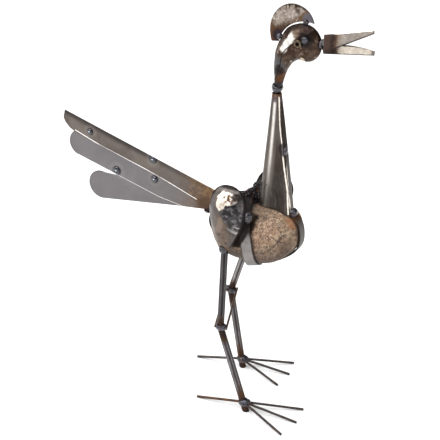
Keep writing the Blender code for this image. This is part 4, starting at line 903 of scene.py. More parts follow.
def blade_steel(look, order):
    """Tail plate: brown-grey on top with painted shade along its rolled top edge, plain grey below, orange by
    the root.
    """
    bench = Bench(("upper_blade", "middle_blade", "lower_blade")[order])
    if order == 0:
        light, dark = look.warm_blade, (0.085, 0.068, 0.060)
    else:
        light, dark = look.blade, tuple(c * 0.80 for c in look.blade)
    roughness, relief = worn_steel(bench, light, dark, 0.050, (0.08, 1.0, 1.0))
    pitch = math.radians(TAIL_PITCH)
    down = bench.along((-math.sin(pitch), 0.0, -math.cos(pitch)), (TAIL_ROOT[0], 0.0, TAIL_ROOT[1]))
    back = bench.along((-1.0, 0.0, 0.0), (TAIL_ROOT[0], 0.0, 0.0))
    cloud = bench.cloud(0.020, 4.0) - 0.5
    if order == 0:
        # Painted shade along the upper blade's rolled top edge
        rolled = (down + cloud * 0.004).fade(0.0015, 0.0130)
        bench.lay(rolled * 0.88, (0.028, 0.022, 0.020))
    bench.lay(back.ramp(0.200, 0.030, 0.0, 0.5), (0.110, 0.095, 0.085))
    if order > 0:
        centre, reach = BLADE_ENDS[order - 1]
        out = bench.away((centre[0], (order - 1) * BLADE_STEP, centre[1]))
        round_end = bench.along(FORWARD, (centre[0], 0.0, 0.0)).ramp(0.004, -0.004)
        outline = out.ramp(reach - 0.0022, reach - 0.0006) * round_end
        bench.lay(outline * 0.65, (0.040, 0.035, 0.035))
    root = (back + cloud * 0.060).fade(0.010, 0.085)
    rusted = bench.cloud(0.006, 5.0, 0.7).ramp(0.40, 0.62)
    bench.lay(root * 0.80, bench.blend(rusted, (0.090, 0.046, 0.020), (0.230, 0.130, 0.055)))
    freckles = bench.cloud(0.0030, 3.0, 0.7).ramp(0.66, 0.74) * (0.35 + root * 0.65)
    bench.lay(freckles * 0.70, (0.030, 0.020, 0.015))
    close = (bench.away((-0.080, 0.0, 0.352)) + cloud * 0.020).fade(0.008, 0.030)
    bench.lay(close * 0.85, (0.060, 0.030, 0.018))
    if order < 2:
        bright_line = (bench.beside(BLADE_EDGES[order]) + bench.rag(0.010, 0.0005, 3.0)).fade(0.0004, 0.0011)
        bench.lay(bright_line * 0.96, (0.94, 0.91, 0.89))
    for _, fixed, x, z, across in TAIL_PLUGS:
        if fixed == order or (order == 2 and fixed == 1):
            gap = bench.away((x, (fixed - 1) * BLADE_STEP, z)) + cloud * 0.002
            halo = gap.ramp(across * 0.62, across * 0.78) * gap.fade(across * 0.90, across * 1.35)
            bench.lay(halo * 0.10, (0.36, 0.34, 0.32))
            bench.lay(gap.ramp(across * 0.50, across * 0.66, 0.92, 0.0), (0.022, 0.022, 0.026))
    return bench.done(0.80, roughness + 0.13, relief, 0.00018)


def bar_steel(light, name, start, end, burnt):
    """Drawn round bar: painted highlights and shade in bands along it, fine dark lines, brown burn round the
    given spots.
    """
    bench = Bench(name)
    roughness, relief = worn_steel(bench, light, tuple(c * 0.6 for c in light), 0.030, (1.0, 1.0, 0.04))
    # Painted highlights and shade: light and dark bands across the bar, set out from the side that faces the
    # camera
    way = unit(end - start)
    side = unit(np.cross(way, (0.469, -0.883, 0.0)))
    wander = (bench.cloud(0.030, 2.0, 0.5, place=bench.stretched((1.0, 1.0, 0.5))) - 0.5) * 0.35
    round_bar = bench.along(side, start) / (LEG_BAR / 2) + wander
    if side[0] < 0:
        round_bar = round_bar * -1.0
    shades = ((0.0, 0.10), (0.10, 0.16), (0.22, 0.95), (0.38, 0.50), (0.47, 0.10), (0.60, 0.14), (0.72, 1.0),
              (0.84, 0.30), (1.0, 0.08))
    tone = bench.node("ShaderNodeValToRGB", {"stops": [(spot, (grey,) * 3) for spot, grey in shades]},
                      {0: round_bar * 0.5 + 0.5}, "Color")
    bench.lay(0.94, tone, "MULTIPLY")
    lines = bench.cloud(0.0016, 2.0, 0.5, place=bench.stretched((1.0, 1.0, 0.03)))
    bench.lay(lines.ramp(0.48, 0.64) * 0.45, (0.030, 0.027, 0.028))
    for spots, reach in burnt:
        bench.heat(spots, reach, 0.95)
        for spot in spots:
            bench.spot(spot, reach * 0.5, reach * 0.7, (lines - 0.5) * 0.02, 0.72, (0.022, 0.012, 0.009))
    rust = bench.cloud(0.010, 5.0, 0.65).ramp(0.50, 0.66)
    low = bench.along(UP).ramp(0.120, 0.035)
    bench.lay(rust * low * 0.65, (0.110, 0.050, 0.024))
    return bench.done(0.88, roughness + rust * low * 0.2, relief, 0.00020)


def rod_steel(name, light, dark, rust_share):
    """Thin rod: brown-black and lightly rusted."""
    bench = Bench(name)
    roughness, relief = worn_steel(bench, light, dark, 0.012)
    rust = bench.cloud(0.005, 5.0, 0.65).ramp(0.42, 0.62)
    bench.lay(rust * rust_share, (0.190, 0.085, 0.038))
    return bench.done(0.75, roughness + 0.12 + rust * 0.2, relief, 0.00022)


def bead_steel(look, name, blue, orange):
    """Weld metal: blue-black and glassy, with brown and orange burn in its hollows, and painted glints."""
    bench = Bench(name)
    fine = bench.cloud(0.0022, 4.0, 0.6)
    broad = bench.cloud(0.0065, 4.0, 0.6, distortion=0.6)
    bench.colour = bench.blend(fine.ramp(0.36, 0.64), (0.016, 0.014, 0.016), look.bead)
    bench.lay(broad.ramp(0.50, 0.60) * blue, (0.070, 0.074, 0.098))
    bench.lay(broad.ramp(0.48, 0.36) * orange, (0.110, 0.042, 0.016))
    # Painted glints on the raised spots
    bench.lay(fine.ramp(0.62, 0.70) * 0.65 * blue, (0.50, 0.48, 0.52))
    relief = fine + bench.cloud(0.0008, 3.0) * 0.5
    return bench.done(0.85, 0.14 + fine * 0.16, relief, 0.00040, 0.5, 0.08)


# Stone and straps

def stone_gauge(offset):
    """One on the stone's surface, less inside; offset is measured from its middle."""
    scaled = offset / STONE_HALF
    total = 0.0
    for azimuth, elevation, reach in STONE_FACES:
        push = np.maximum(0.0, scaled @ direction(azimuth, elevation)) / reach
        total = total + push ** 9.0
    return total ** (1.0 / 9.0)


def stone_reach(start, headings):
    """Distance from a place inside the stone to its surface along each heading."""
    near = np.zeros(headings.shape[:-1])
    far = np.full(headings.shape[:-1], 0.175)
    for _ in range(34):
        middle = (near + far) / 2.0
        outside = stone_gauge(start + headings * middle[..., None] - STONE_MIDDLE) > 1.0
        far = np.where(outside, middle, far)
        near = np.where(outside, near, middle)
    return far


def stone_top(x, y):
    """Heights of the stone's top over places inside its outline."""
    start = np.stack([x, y, np.full_like(x, STONE_MIDDLE[2])], axis=-1)
    return STONE_MIDDLE[2] + stone_reach(start, np.broadcast_to(UP, start.shape))


def river_stone(form, look):
    """Worn stone with shallow hollows, pits and one long crease."""
    ball = bmesh.new()
    bmesh.ops.create_icosphere(ball, subdivisions=7, radius=1.0)
    headings = np.array([v.co for v in ball.verts])
    faces = [tuple(v.index for v in face.verts) for face in ball.faces]
    ball.free()
    headings = headings / np.linalg.norm(headings, axis=1)[:, None]
    points = STONE_MIDDLE + headings / stone_gauge(headings)[:, None]
    depth = hollows(0.0008, points, 0.034, 1, 2)
    depth = depth + hollows(0.0004, points, 0.009, 5, 2)
    depth = depth + hollows(0.00026, points, 0.0028, 9, 2)
    start, end = np.array(STONE_CREASE)
    along = unit(end - start)
    run = np.clip((points - start) @ along, 0.0, np.linalg.norm(end - start))
    wander = 0.0016 * swells(points, 0.010, 21)[:, None] * UP
    gap = np.linalg.norm(points + wander - start - run[:, None] * along, axis=1)
    depth = depth + 0.0011 * (1.0 - smooth(gap, 0.0006, 0.0030))
    points = points - outward(points, faces) * (depth * form.stone_relief)[:, None]
    return make("stone_fine", points, faces, [granite(look)], ["stone"], "stone", sharp=60.0)


def hull(points):
    """Corners of the tightest band round flat points, counterclockwise."""
    ordered = sorted(map(tuple, points))

    def turn(a, b, c):
        return (b[0] - a[0]) * (c[1] - a[1]) - (b[1] - a[1]) * (c[0] - a[0])

    def half(sequence):
        chain = []
        for p in sequence:
            while len(chain) > 1 and turn(chain[-2], chain[-1], p) <= 0:
                chain.pop()
            chain.append(p)
        return chain[:-1]

    return np.array(half(ordered) + half(ordered[::-1]))


def flat_outward(path, closed):
    """Directions out of a flat counterclockwise path."""
    if closed:
        run = np.roll(path, -1, axis=0) - np.roll(path, 1, axis=0)
    else:
        run = np.gradient(path, axis=0)
    run = run / np.linalg.norm(run, axis=1)[:, None]
    return np.column_stack([run[:, 1], -run[:, 0]])


def band_outline(origin, across, up, side, over_strap):
    """Outline of a tight band over the stone in the plane of across and up."""
    turn = np.linspace(0.0, 2.0 * math.pi, 361)[:-1]
    headings = np.cos(turn)[:, None] * across + np.sin(turn)[:, None] * up
    found = []
    for shift in (-STRAP_WIDTH / 2, 0.0, STRAP_WIDTH / 2):
        start = origin + side * shift
        reach = stone_reach(start, headings)
        if over_strap:
            place = start + headings * reach[:, None]
            reach = reach + 0.0036 * (np.abs(place[:, 1]) < STRAP_WIDTH / 2 + 0.0030)
        found.append(np.column_stack([reach * np.cos(turn), reach * np.sin(turn)]))
    return hull(np.vstack(found))


def strap_section():
    """Section of the flat bar with eased corners: places across its width and through its thickness."""
    half, thick, corner = STRAP_WIDTH / 2, STRAP_THICKNESS, 0.0007
    ring = []
    for (w, h), start in (((half - corner, corner), -90), ((half - corner, thick - corner), 0),
                          ((corner - half, thick - corner), 90), ((corner - half, corner), 180)):
        ring += [tuple(p) for p in arc((w, h), corner, start, start + 90, 5)]
        if start in (0, 180):
            sign = -1.0 if start == 0 else 1.0
            ring += [(sign * x, ring[-1][1]) for x in np.linspace(corner - half, half - corner, 16)[1:-1]]
    return np.array(ring)


def strap(name, node, path, origin, across, up, side, closed, look):
    """Flat bar bent along a flat path, slightly wavy, with eased corners."""
    away = flat_outward(path, closed)
    section = strap_section()
    flat = path[:, None, :] + away[:, None, :] * section[None, :, 1:2]
    rows = origin + flat[..., 0:1] * across + flat[..., 1:2] * up + side * section[None, :, 0:1]
    depth = hollows(0.00018, rows, 0.012, 41, 3)
    points, faces = skin(sunk(rows, depth), loop=closed)
    return make(name, points, faces, [strap_steel(look, node)], [node], "strap")


def both_straps(form, look):
    """The bar round the stone lengthwise and the hoop round its waist."""
    outline = even(band_outline(STONE_MIDDLE, FORWARD, UP, LEFT, False), 900, True)
    outline = eased(outline, 30, True)
    outline = outline + flat_outward(outline, True) * 0.00045
    front = NECK_FOOT[0] + NECK_FOOT[1] + SHEET + 0.001 - STONE_MIDDLE[0]
    rear = NECK_FOOT[0] - SHEET - 0.001 - STONE_MIDDLE[0]
    under_neck = (outline[:, 1] > 0) & (outline[:, 0] < front) & (outline[:, 0] > rear)
    first = int(np.argmax(np.roll(under_neck, 1) & ~under_neck))
    kept = np.roll(outline, -first, axis=0)[:len(outline) - int(under_neck.sum())]
    strap("long_strap_fine", "long_strap", even(kept, 260), STONE_MIDDLE, FORWARD, UP, LEFT, False, look)

    side = hoop_side()
    across = unit(np.cross(UP, side))
    up = np.cross(side, across)
    origin = np.array(HOOP_MIDDLE)
    ring = even(band_outline(origin, across, up, side, True), 280, True)
    ring = eased(ring, 11, True)
    ring = ring + flat_outward(ring, True) * 0.0006
    strap("cross_strap_fine", "cross_strap", ring, origin, across, up, side, True, look)


# Neck

def neck_section(level):
    """Outline of the rolled sheet at a level from 0, its foot, to 1, its top."""
    foot_rear, foot_length, foot_width = NECK_FOOT
    top = NECK_TOP_DIAMETER
    rear = foot_rear + level * (NECK_TOP[0] - top / 2 - foot_rear)
    front = foot_rear + foot_length + level * (NECK_TOP[0] + top / 2 - foot_rear - foot_length)
    half = (foot_width + level * (top - foot_width)) / 2
    corner = NECK_CORNER + (top / 2 - NECK_CORNER) * level ** 2
    path = list(arc((front - corner, corner - half), corner, -12, -90, 14)[:-1])
    path += [(x, -half) for x in np.linspace(front - corner, rear + half, 40)]
    path += list(arc((rear + half, 0.0), half, -90, -270, 50)[1:-1])
    path += [(x, half) for x in np.linspace(rear + half, front - corner, 40)]
    path += list(arc((front - corner, half - corner), corner, 90, 0, 14)[1:])
    return np.array(path)


def rolled_neck(form, look):
    """Sheet rolled into a tall flattened cone, lapped at the front right, a little buckled."""
    count = 480
    lap = 24
    rows = []
    for level in np.linspace(0.0, 1.0, 100):
        outline = neck_section(level)
        run = even(np.vstack([outline, outline[:1]]), count)
        strip = np.vstack([run, run[1:lap]])
        lift = np.zeros(len(strip))
        lift[:3 * lap] = (SHEET + SEAT_GAP) * np.clip(1.5 - np.arange(3 * lap) / (2 * lap), 0, 1)
        along = np.gradient(strip, axis=0)
        along = along / np.linalg.norm(along, axis=1)[:, None]
        away = np.column_stack([-along[:, 1], along[:, 0]])
        outer = strip + away * lift[:, None]
        tall = np.column_stack([outer, np.full(len(outer), 0.42 + 0.17 * level)])
        buckle = 0.5 + 0.5 * swells(tall * np.array([1.0, 1.0, 0.35]), 0.016, 61, 2)
        knocks = 1.0 - smooth(dents(tall, 0.034, 63), 0.0, 0.10)
        outer = outer - away * (form.neck_buckle * buckle + 0.0005 * knocks)[:, None]
        inner = outer - away * SHEET
        ring = np.vstack([outer[::2], inner[::-2]])
        reach = np.clip(ring[:, 0], NECK_FOOT[0], NECK_FOOT[0] + NECK_FOOT[1])
        foot = stone_top(reach, ring[:, 1]) + 0.0006
        rows.append(np.column_stack([ring, foot + level * (NECK_TOP[2] - foot)]))
    rows = np.array(rows)
    points, faces = skin(rows, capped=False)
    width = rows.shape[1]
    for base in (0, len(points) - width):
        for k in range(width // 2 - 1):
            faces.append((base + k, base + k + 1, base + width - 2 - k, base + width - 1 - k))
    return make("neck_fine", points, faces, [neck_steel(look)], ["neck"], "neck_sheet", sharp=50.0)


# Head, crest, beak and eyes

def head_spine(t):
    """Middle line of the throat, from the neck's top at 0 to the head's middle at 1."""
    rise = HEAD_MIDDLE[2] - NECK_TOP[2]
    pitch = math.radians(HEAD_PITCH)
    foot = np.array([NECK_TOP[0], NECK_TOP[2] + SEAT_GAP])
    middle = HEAD_MIDDLE[[0, 2]]
    lower = foot + np.array([0.078, 0.44]) * rise
    upper = middle - np.array([math.cos(pitch), math.sin(pitch)]) * 0.46 * rise
    s = 1.0 - t
    return s ** 3 * foot + 3 * s * s * t * lower + 3 * s * t * t * upper + t ** 3 * middle


def head_rows():
    """Rings of the beaten pod, from the throat to the brow."""
    radius, depth, throat = HEAD_RADIUS, HEAD_HALF_THICKNESS, THROAT_RADIUS
    stations = []
    for t in np.linspace(0.0, 1.0, 111)[:-1]:
        centre = head_spine(t)
        along = unit(head_spine(t + 0.01) - head_spine(t - 0.01))
        width = throat + (radius * 0.93 - throat) * t ** 1.75
        away = np.linalg.norm(centre - HEAD_MIDDLE[[0, 2]])
        if away < radius:
            width = max(width, math.sqrt(radius ** 2 - away ** 2))
        thick = throat + (depth - throat) * math.sin(t * math.pi / 2)
        stations.append((centre, along, width, thick, 1.0 + 0.25 * math.sin(t * math.pi)))
    along = unit(head_spine(1.0) - head_spine(0.98))
    for turn in np.radians(np.linspace(0.0, 85.0, 46)):
        stations.append((head_spine(1.0) + along * radius * math.sin(turn), along,
                         radius * math.cos(turn), depth * math.cos(turn), 1.0))
    turn = np.linspace(0.0, 2.0 * math.pi, 161)[:-1]
    rows = []
    for centre, along, width, thick, swell in stations:
        reach = width * np.where(np.cos(turn) > 0.0, swell, 1.0)
        flat = centre + np.outer(reach * np.cos(turn), [-along[1], along[0]])
        rows.append(np.column_stack([flat[:, 0], thick * np.sin(turn), flat[:, 1]]))
    return np.array(rows)


def crease_gap(points):
    """Distance from the crease behind the face, seen from the side."""
    flat = points[..., [0, 2]]
    best = np.full(flat.shape[:-1], 1.0)
    for start, end in zip(np.array(CREASE[:-1]), np.array(CREASE[1:])):
        arm = end - start
        t = np.clip(((flat - start) @ arm) / (arm @ arm), 0.0, 1.0)
        best = np.minimum(best, np.linalg.norm(flat - start - t[..., None] * arm, axis=-1))
    return best


def beaten_head(form, look):
    """Hammered pod with a welded seam round its profile and a crease behind the face."""
    rows = head_rows()
    blows = dents(rows, 0.0085, 71)
    depth = form.head_dent * (1.0 - smooth(blows, 0.0, 0.55))
    depth = depth + hollows(0.00030, rows, 0.005, 73, 2)
    depth = depth + 0.00085 * (1.0 - smooth(crease_gap(rows), 0.0003, 0.0024))
    turn = np.linspace(0.0, 2.0 * math.pi, 161)[:-1]
    seam = np.exp(-((np.abs(np.sin(turn)) / 0.13) ** 2))
    ripple = 0.5 + 0.5 * np.sin(np.arange(len(rows)) * 1.05)
    depth = depth * (1.0 - 0.6 * seam)[None, :] + 0.0004 * (1.0 - seam * (0.6 + 0.4 * ripple[:, None]))
    points, faces = skin(sunk(rows, depth))
    return make("head_fine", points, faces, [head_steel(look)], ["head"], "head_shell", sharp=60.0)


def plate_columns(outline, lead, columns, middle_y, thickness, corner, relief):
    """Plate cut to an outline of x and z, as sections across it that follow one another along lead.

    relief gives how far each face is sunk, from points, and whether they are on the right face.
    """
    lead = unit(lead)
    rise = np.array([-lead[1], lead[0]])
    loop = np.vstack([outline, outline[:1]])
    u = loop @ lead
    v = loop @ rise
    low, high = u.min(), u.max()
    turn = np.linspace(0.0, 1.0, columns)
    places = low + (high - low) * (0.5 - 0.5 * np.cos(math.pi * (0.12 + 0.76 * turn)))
    places = low + (places - places[0]) / (places[-1] - places[0]) * (high - low)
    places[0] += 2e-5
    places[-1] -= 2e-5
    rows = []
    for place in places:
        cuts = []
        for k in range(len(loop) - 1):
            a, b = u[k] - place, u[k + 1] - place
            if a * b <= 0.0 and a != b:
                cuts.append(v[k] + (v[k + 1] - v[k]) * a / (a - b))
        top, bottom = max(cuts), min(cuts)
        eased_by = min(corner, (top - bottom) * 0.45)
        half = thickness / 2
        ring = []
        upper = arc((0.0, 0.0), 1.0, 0, 90, 5)
        for c, s in upper:
            ring.append((top - eased_by + eased_by * c, half - eased_by * (1.0 - s)))
        for q in np.linspace(top - eased_by, bottom + eased_by, 42)[1:-1]:
            ring.append((q, half))
        for c, s in upper[::-1]:
            ring.append((bottom + eased_by - eased_by * c, half - eased_by * (1.0 - s)))
        whole = ring + [(q, -y) for q, y in ring[::-1]]
        rows.append([(lead[0] * place + rise[0] * q, middle_y - y, lead[1] * place + rise[1] * q)
                     for q, y in whole])
    rows = np.array(rows)
    right = rows[..., 1] < middle_y
    sunk = relief(rows, right)
    rows[..., 1] += np.where(right, sunk, -sunk)
    return skin(rows)


def crest_shape():
    """Outline of the half moon in x and z."""
    angles = np.linspace(-7.0, 187.0, 260)
    reach = np.interp(angles, [a for a, _ in CREST_RIM], [r for _, r in CREST_RIM])
    reach = eased(reach[:, None], 60)[:, 0]
    turn = np.radians(angles)
    outer = np.column_stack([reach * np.cos(turn), reach * np.sin(turn)])
    inner = arc(CREST_BITE_MIDDLE, CREST_BITE_RADIUS, 140.0, 50.5, 120)
    flat = np.vstack([outer, inner])
    pitch = math.radians(CREST_PITCH)
    lead = np.array([math.cos(pitch), math.sin(pitch)])
    rise = np.array([-lead[1], lead[0]])
    return np.array(CREST_MIDDLE) + flat[:, :1] * lead + flat[:, 1:] * rise, lead


def crest(form, look):
    """Half moon of plate with grinder nicks round its rim."""
    outline, lead = crest_shape()

    def relief(rows, right):
        arm = rows[..., [0, 2]] - np.array(CREST_MIDDLE)
        turn = np.arctan2(arm[..., 1], arm[..., 0])
        out = np.linalg.norm(arm, axis=-1)
        polar = np.stack([turn * 0.04, out * 0.35, np.full_like(turn, 0.01)], axis=-1)
        nick = smooth(swells(polar, 0.0018, 81, 2), 0.10, 0.45) * smooth(out, 0.0285, 0.0385)
        worn = hollows(0.00010, rows, 0.010, 83, 2)
        return 0.00045 * nick + worn

    points, faces = plate_columns(outline, lead, 200, 0.0, CREST_THICKNESS, 0.0006, relief)
    return make("crest_fine", points, faces, [crest_steel(look)], ["crest"], "crest_plate")


def soft_corners(ring, corner, between):
    """Closed run of points with each corner eased and each edge split; counts stay the same."""
    new = []
    count = len(ring)
    for k in range(count):
        here, back, ahead = ring[k], ring[k - 1], ring[(k + 1) % count]
        to_back, to_ahead = back - here, ahead - here
        a = here + to_back * min(0.45, corner / max(np.linalg.norm(to_back), 1e-9))
        b = here + to_ahead * min(0.45, corner / max(np.linalg.norm(to_ahead), 1e-9))
        for t in np.linspace(0.0, 1.0, 5):
            new.append((1 - t) ** 2 * a + 2 * t * (1 - t) * here + t * t * b)
        c = ahead - to_ahead * min(0.45, corner / max(np.linalg.norm(to_ahead), 1e-9))
        for t in np.linspace(0.0, 1.0, between + 2)[1:-1]:
            new.append(b + (c - b) * t)
    return np.array(new)


def beak_fold(name, node, ridge_base, ridge_tip, edges, look):
    """Plate folded along its ridge, slightly beaten, with eased edges."""
    plate = BEAK_PLATE
    rows = []
    for k, edge in enumerate(edges):
        top = ridge_base + (ridge_tip - ridge_base) * k / (len(edges) - 1)
        right = np.array([edge[0], -edge[1], edge[2]])
        left = np.array([edge[0], edge[1], edge[2]])
        inward = unit([0.0, 0.0, edge[2] - top[2]])
        normal = unit(np.cross(unit(right - top), FORWARD))
        normal = normal if normal[1] < 0 else -normal
        mirror = normal * np.array([1.0, -1.0, 1.0])
        drop = plate / max(0.35, abs(normal[1]))
        ring = np.array([top, right, right - normal * plate, top + inward * drop * 1.4,
                         left - mirror * plate, left])
        rows.append(soft_corners(ring, 0.0006, 14))
    rows = np.array(rows)
    depth = hollows(0.00016, rows, 0.007, 91, 2)
    points, faces = skin(sunk(rows, depth))
    return make(name, points, faces, [beak_steel(look, node.split("_")[0])], [node], "beak_plate")


def beak(form, look):
    """Upper plate with its ridge on top, and the lower one held inside it."""
    base_x, length, base, tip = BEAK_BASE_X, BEAK_LENGTH, BEAK_BASE_HEIGHT, BEAK_TIP_HEIGHT
    rise = math.tan(math.radians(BEAK_RISE))
    base_z = BEAK_RIDGE_Z
    edges = []
    for s in np.linspace(0.0, 1.0, 70):
        height = base + s * (tip - base)
        edges.append((base_x + s * length + (1 - s) * 0.0050, (0.022 + s * (0.006 - 0.022)) / 2,
                      base_z + rise * s * length - height * 0.82))
    beak_fold("upper_beak_fine", "upper_beak", np.array([base_x, 0.0, base_z]),
              np.array([base_x + length, 0.0, base_z + rise * length]), edges, look)
    rise = math.tan(math.radians(LOWER_BEAK_RISE))
    base_z = HEAD_MIDDLE[2] - 0.41 * base
    edges = []
    for s in np.linspace(0.0, 1.0, 70):
        swell = 0.62 + 0.9 * s - 1.16 * s ** 2
        edges.append((base_x + s * length * 1.03, 0.0047 * (1.0 - 0.45 * s),
                      base_z + rise * s * length + 0.0165 * swell * 1.15))
    beak_fold("lower_beak_fine", "lower_beak", np.array([base_x, 0.0, base_z]),
              np.array([base_x + length * 1.03, 0.0, base_z + rise * length]), edges, look)


def eyes(form, look):
    """Six-sided nuts laid flat on the head, their corners worn and their bores dark."""
    finish = nut_steel()
    turn = np.linspace(0.0, 2.0 * math.pi, 145)[:-1]
    spread = (turn + math.pi / 6) % (math.pi / 3) - math.pi / 6
    six = (NUT_ACROSS / 2) / np.cos(spread)
    evenly = np.ones_like(six)
    thick, bore = NUT_THICKNESS, NUT_BORE_RADIUS
    for name, side in SIDES.items():
        back = np.array([EYE_X, side * EYE_Y, EYE_Z])
        rows = []
        for reach, depth in ((six - 0.0003, 0.0), (six, 0.0003), (six, thick - 0.0009),
                             (np.minimum(six, 0.00605), thick - 0.0003), (evenly * 0.0054, thick),
                             (evenly * (bore + 0.0008), thick), (evenly * (bore + 0.0003), thick - 0.0001),
                             (evenly * bore, thick - 0.0006), (evenly * bore, 0.0)):
            rows.append(back + LEFT * side * depth + np.outer(reach * np.cos(turn), FORWARD)
                        + np.outer(reach * np.sin(turn), UP))
        points, faces = skin(np.array(rows), loop=True)
        make(name + "_eye_fine", points, faces, [finish], [name + "_eye"], "eye_nut", sharp=28.0)


def nut_steel():
    """Nut: olive-brown, with painted shade in the bore."""
    bench = Bench("eye_nut")
    roughness, relief = worn_steel(bench, (0.170, 0.130, 0.085), (0.055, 0.040, 0.027), 0.004)
    # Painted shade in the bore
    bore = None
    for side in SIDES.values():
        gap = bench.off_line((EYE_X, 0.0, EYE_Z), (EYE_X, side, EYE_Z))
        bore = gap if bore is None else bore.least(gap)
    bench.lay(bore.fade(0.0032, 0.0036), (0.012, 0.010, 0.010))
    return bench.done(0.85, roughness + 0.05, relief, 0.0002)


# Wings

def wing_frame(side, leg):
    """Lower tip of a wing and its up, forward and outward directions."""
    lean = math.tan(math.radians(leg["lean"]))
    inward = math.tan(math.radians(WING_LEAN_INWARD))
    up = unit([lean, -side * inward, 1.0])
    forward = unit(FORWARD - up * up[0])
    out = side * np.cross(up, forward)
    tip = np.array([leg["hip"], side * (LEG_Y + WING_STANDOFF), HIP_Z + WING_LIFT])
    return tip, up, forward, out


def wings(form, look):
    """Egg-shaped beaten shells, open towards the stone."""
    turn = 2.0 * math.pi * (np.arange(150) + 0.5) / 150
    for name, side in SIDES.items():
        tip, up, forward, out = wing_frame(side, LEGS[name])
        rings = np.sin(np.linspace(0.004, math.pi / 2, 75))
        rim_up = WING_HEIGHT * (1.0 - np.cos(turn)) / 2.0
        rim_forward = WING_HALF_WIDTH * np.sin(turn) * (1.0 - WING_EGG * np.cos(turn)) / WING_FILL
        p = rings[:, None] * rim_forward
        q = WING_CROWN + rings[:, None] * (rim_up - WING_CROWN)
        h = WING_DEPTH * np.maximum(0.0, 1.0 - rings[:, None] ** 2) ** 0.72
        outer = tip + forward * p[..., None] + up * q[..., None] + out * h[..., None]
        away = np.cross(np.gradient(outer, axis=0), np.roll(outer, -1, axis=1) - np.roll(outer, 1, axis=1))
        away = away / np.maximum(np.linalg.norm(away, axis=-1), 1e-15)[..., None]
        away = away * np.sign((away[:35] * out).sum())
        blows = 1.0 - smooth(dents(outer, 0.0150, 101), 0.0, 0.60)
        small = 1.0 - smooth(dents(outer, 0.0062, 103), 0.0, 0.60)
        ring_gap = np.abs(np.hypot(p - 0.0225, q - 0.0640) - 0.0030)
        depth = form.wing_dent * blows + 0.00022 * small + 0.0005 * (1.0 - smooth(ring_gap, 0.0003, 0.0012))
        flat = smooth(rings, 1.0, 0.93)[:, None]
        outer = outer - away * (depth * flat)[..., None]
        inner = outer - away * SHEET
        rim = [outer[-1] * (1 - t) + inner[-1] * t for t in (0.25, 0.5, 0.75)]
        rows = np.concatenate([outer, np.array(rim), inner[::-1]])
        points, faces = skin(rows)
        make(name + "_wing_fine", points, faces, [wing_steel(side)], [name + "_wing"],
             "wing_shell", sharp=55.0)


# Tail

def upper_blade_shape():
    """Long blade with a straight top edge and a tip cut back and rounded below."""
    root = np.array(TAIL_ROOT)
    pitch = math.radians(TAIL_PITCH)
    back = np.array([-math.cos(pitch), math.sin(pitch)])
    down = np.array([-math.sin(pitch), -math.cos(pitch)])
    length, width = UPPER_BLADE_LENGTH, UPPER_BLADE_WIDTH
    corner = [(length, 0.0), (length - 0.03 * width, 0.47 * width), (length - 0.20 * width, 0.67 * width),
              (length - 0.53 * width, 0.86 * width), (length - 1.00 * width, 0.97 * width)]
    shape = [(0.0, 0.0)] + corner
    shape += [(0.70 * length, 0.93 * width), (0.35 * length, 0.92 * width), (0.0, 1.12 * width)]
    return np.array([root + back * u + down * v for u, v in shape]), -back


def paddle_shape(middle, radius, start, end, edge):
    """Blade with a round outer end; edge gives its points at the body, lower first."""
    return np.vstack([arc(middle, radius, start, end, 90), np.array(edge)])


def tail(form, look):
    """Three blades fanned out behind the stone, one over the other."""
    middle = paddle_shape(*BLADE_ENDS[0], 78, 246,
                          ((-0.1751, 0.3515), (-0.1261, 0.3431), (-0.0796, 0.3477), (-0.0605, 0.3556),
                           (-0.0590, 0.3578), (-0.0546, 0.3621), (-0.0546, 0.3801)))
    lower = paddle_shape(*BLADE_ENDS[1], 72, 276,
                         ((-0.0826, 0.3477), (-0.0645, 0.3500), (-0.0590, 0.3578), (-0.0546, 0.3621),
                          (-0.0546, 0.3741)))
    upper, lead = upper_blade_shape()
    shapes = (("tail_upper", upper, lead), ("tail_middle", middle, (1.0, -0.15)),
              ("tail_lower", lower, (1.0, 0.06)))
    for order, (node, outline, lead) in enumerate(shapes):

        def relief(rows, right, order=order):
            sunk = hollows(0.00016, rows, 0.030, 111 + order, 2)
            sunk = sunk + hollows(0.00010, rows, 0.004, 121 + order, 2)
            if order == 0:
                pitch = math.radians(TAIL_PITCH)
                drop = np.array([math.sin(pitch), math.cos(pitch)])
                down = (np.array(TAIL_ROOT) - rows[..., [0, 2]]) @ drop
                sunk = sunk + 0.00040 * (1.0 - smooth(down, 0.0, 0.0090)) * right
            return sunk

        middle_y = (order - 1) * BLADE_STEP
        points, faces = plate_columns(outline, lead, 170, middle_y, BLADE, 0.00035, relief)
        make(node + "_fine", points, faces, [blade_steel(look, order)], [node],
             "upper_blade" if order == 0 else "lower_blades")


# Legs, toes and braces

def leg_points(side, leg):
    """Hip, knee and foot of a leg's middle line."""
    y = side * LEG_Y
    return (np.array([leg["hip"], y, HIP_Z]), np.array([leg["knee"], y, KNEE_Z]),
            np.array([leg["foot"], y, 0.0]))


def bar_rows(start, end, radius, sides, count, start_cut=None, end_cut=None, edge=0.0004):
    """Rings along a round bar with sawn ends and their edges taken off."""
    along = unit(end - start)
    reference = UP if abs(along[2]) < 0.8 else LEFT
    across = unit(np.cross(along, reference))
    upward = np.cross(along, across)
    turn = 2.0 * math.pi * (np.arange(sides) + 0.5) / sides
    ends = []
    for place, cut in ((start, start_cut), (end, end_cut)):
        plane = along if cut is None else cut
        ring = place + radius * (np.outer(np.cos(turn), across) + np.outer(np.sin(turn), upward))
        ring = ring + along * (((place - ring) @ plane) / (along @ plane))[:, None]
        ends.append(ring)
    first, last = ends
    t = np.linspace(0.0, 1.0, count)[:, None, None]
    rows = (first + along * edge) * (1.0 - t) + (last - along * edge) * t
    share = 1.0 - edge / radius
    small_first = start + (first - start) * share
    small_last = end + (last - end) * share
    return np.concatenate([small_first[None], rows, small_last[None]]), along


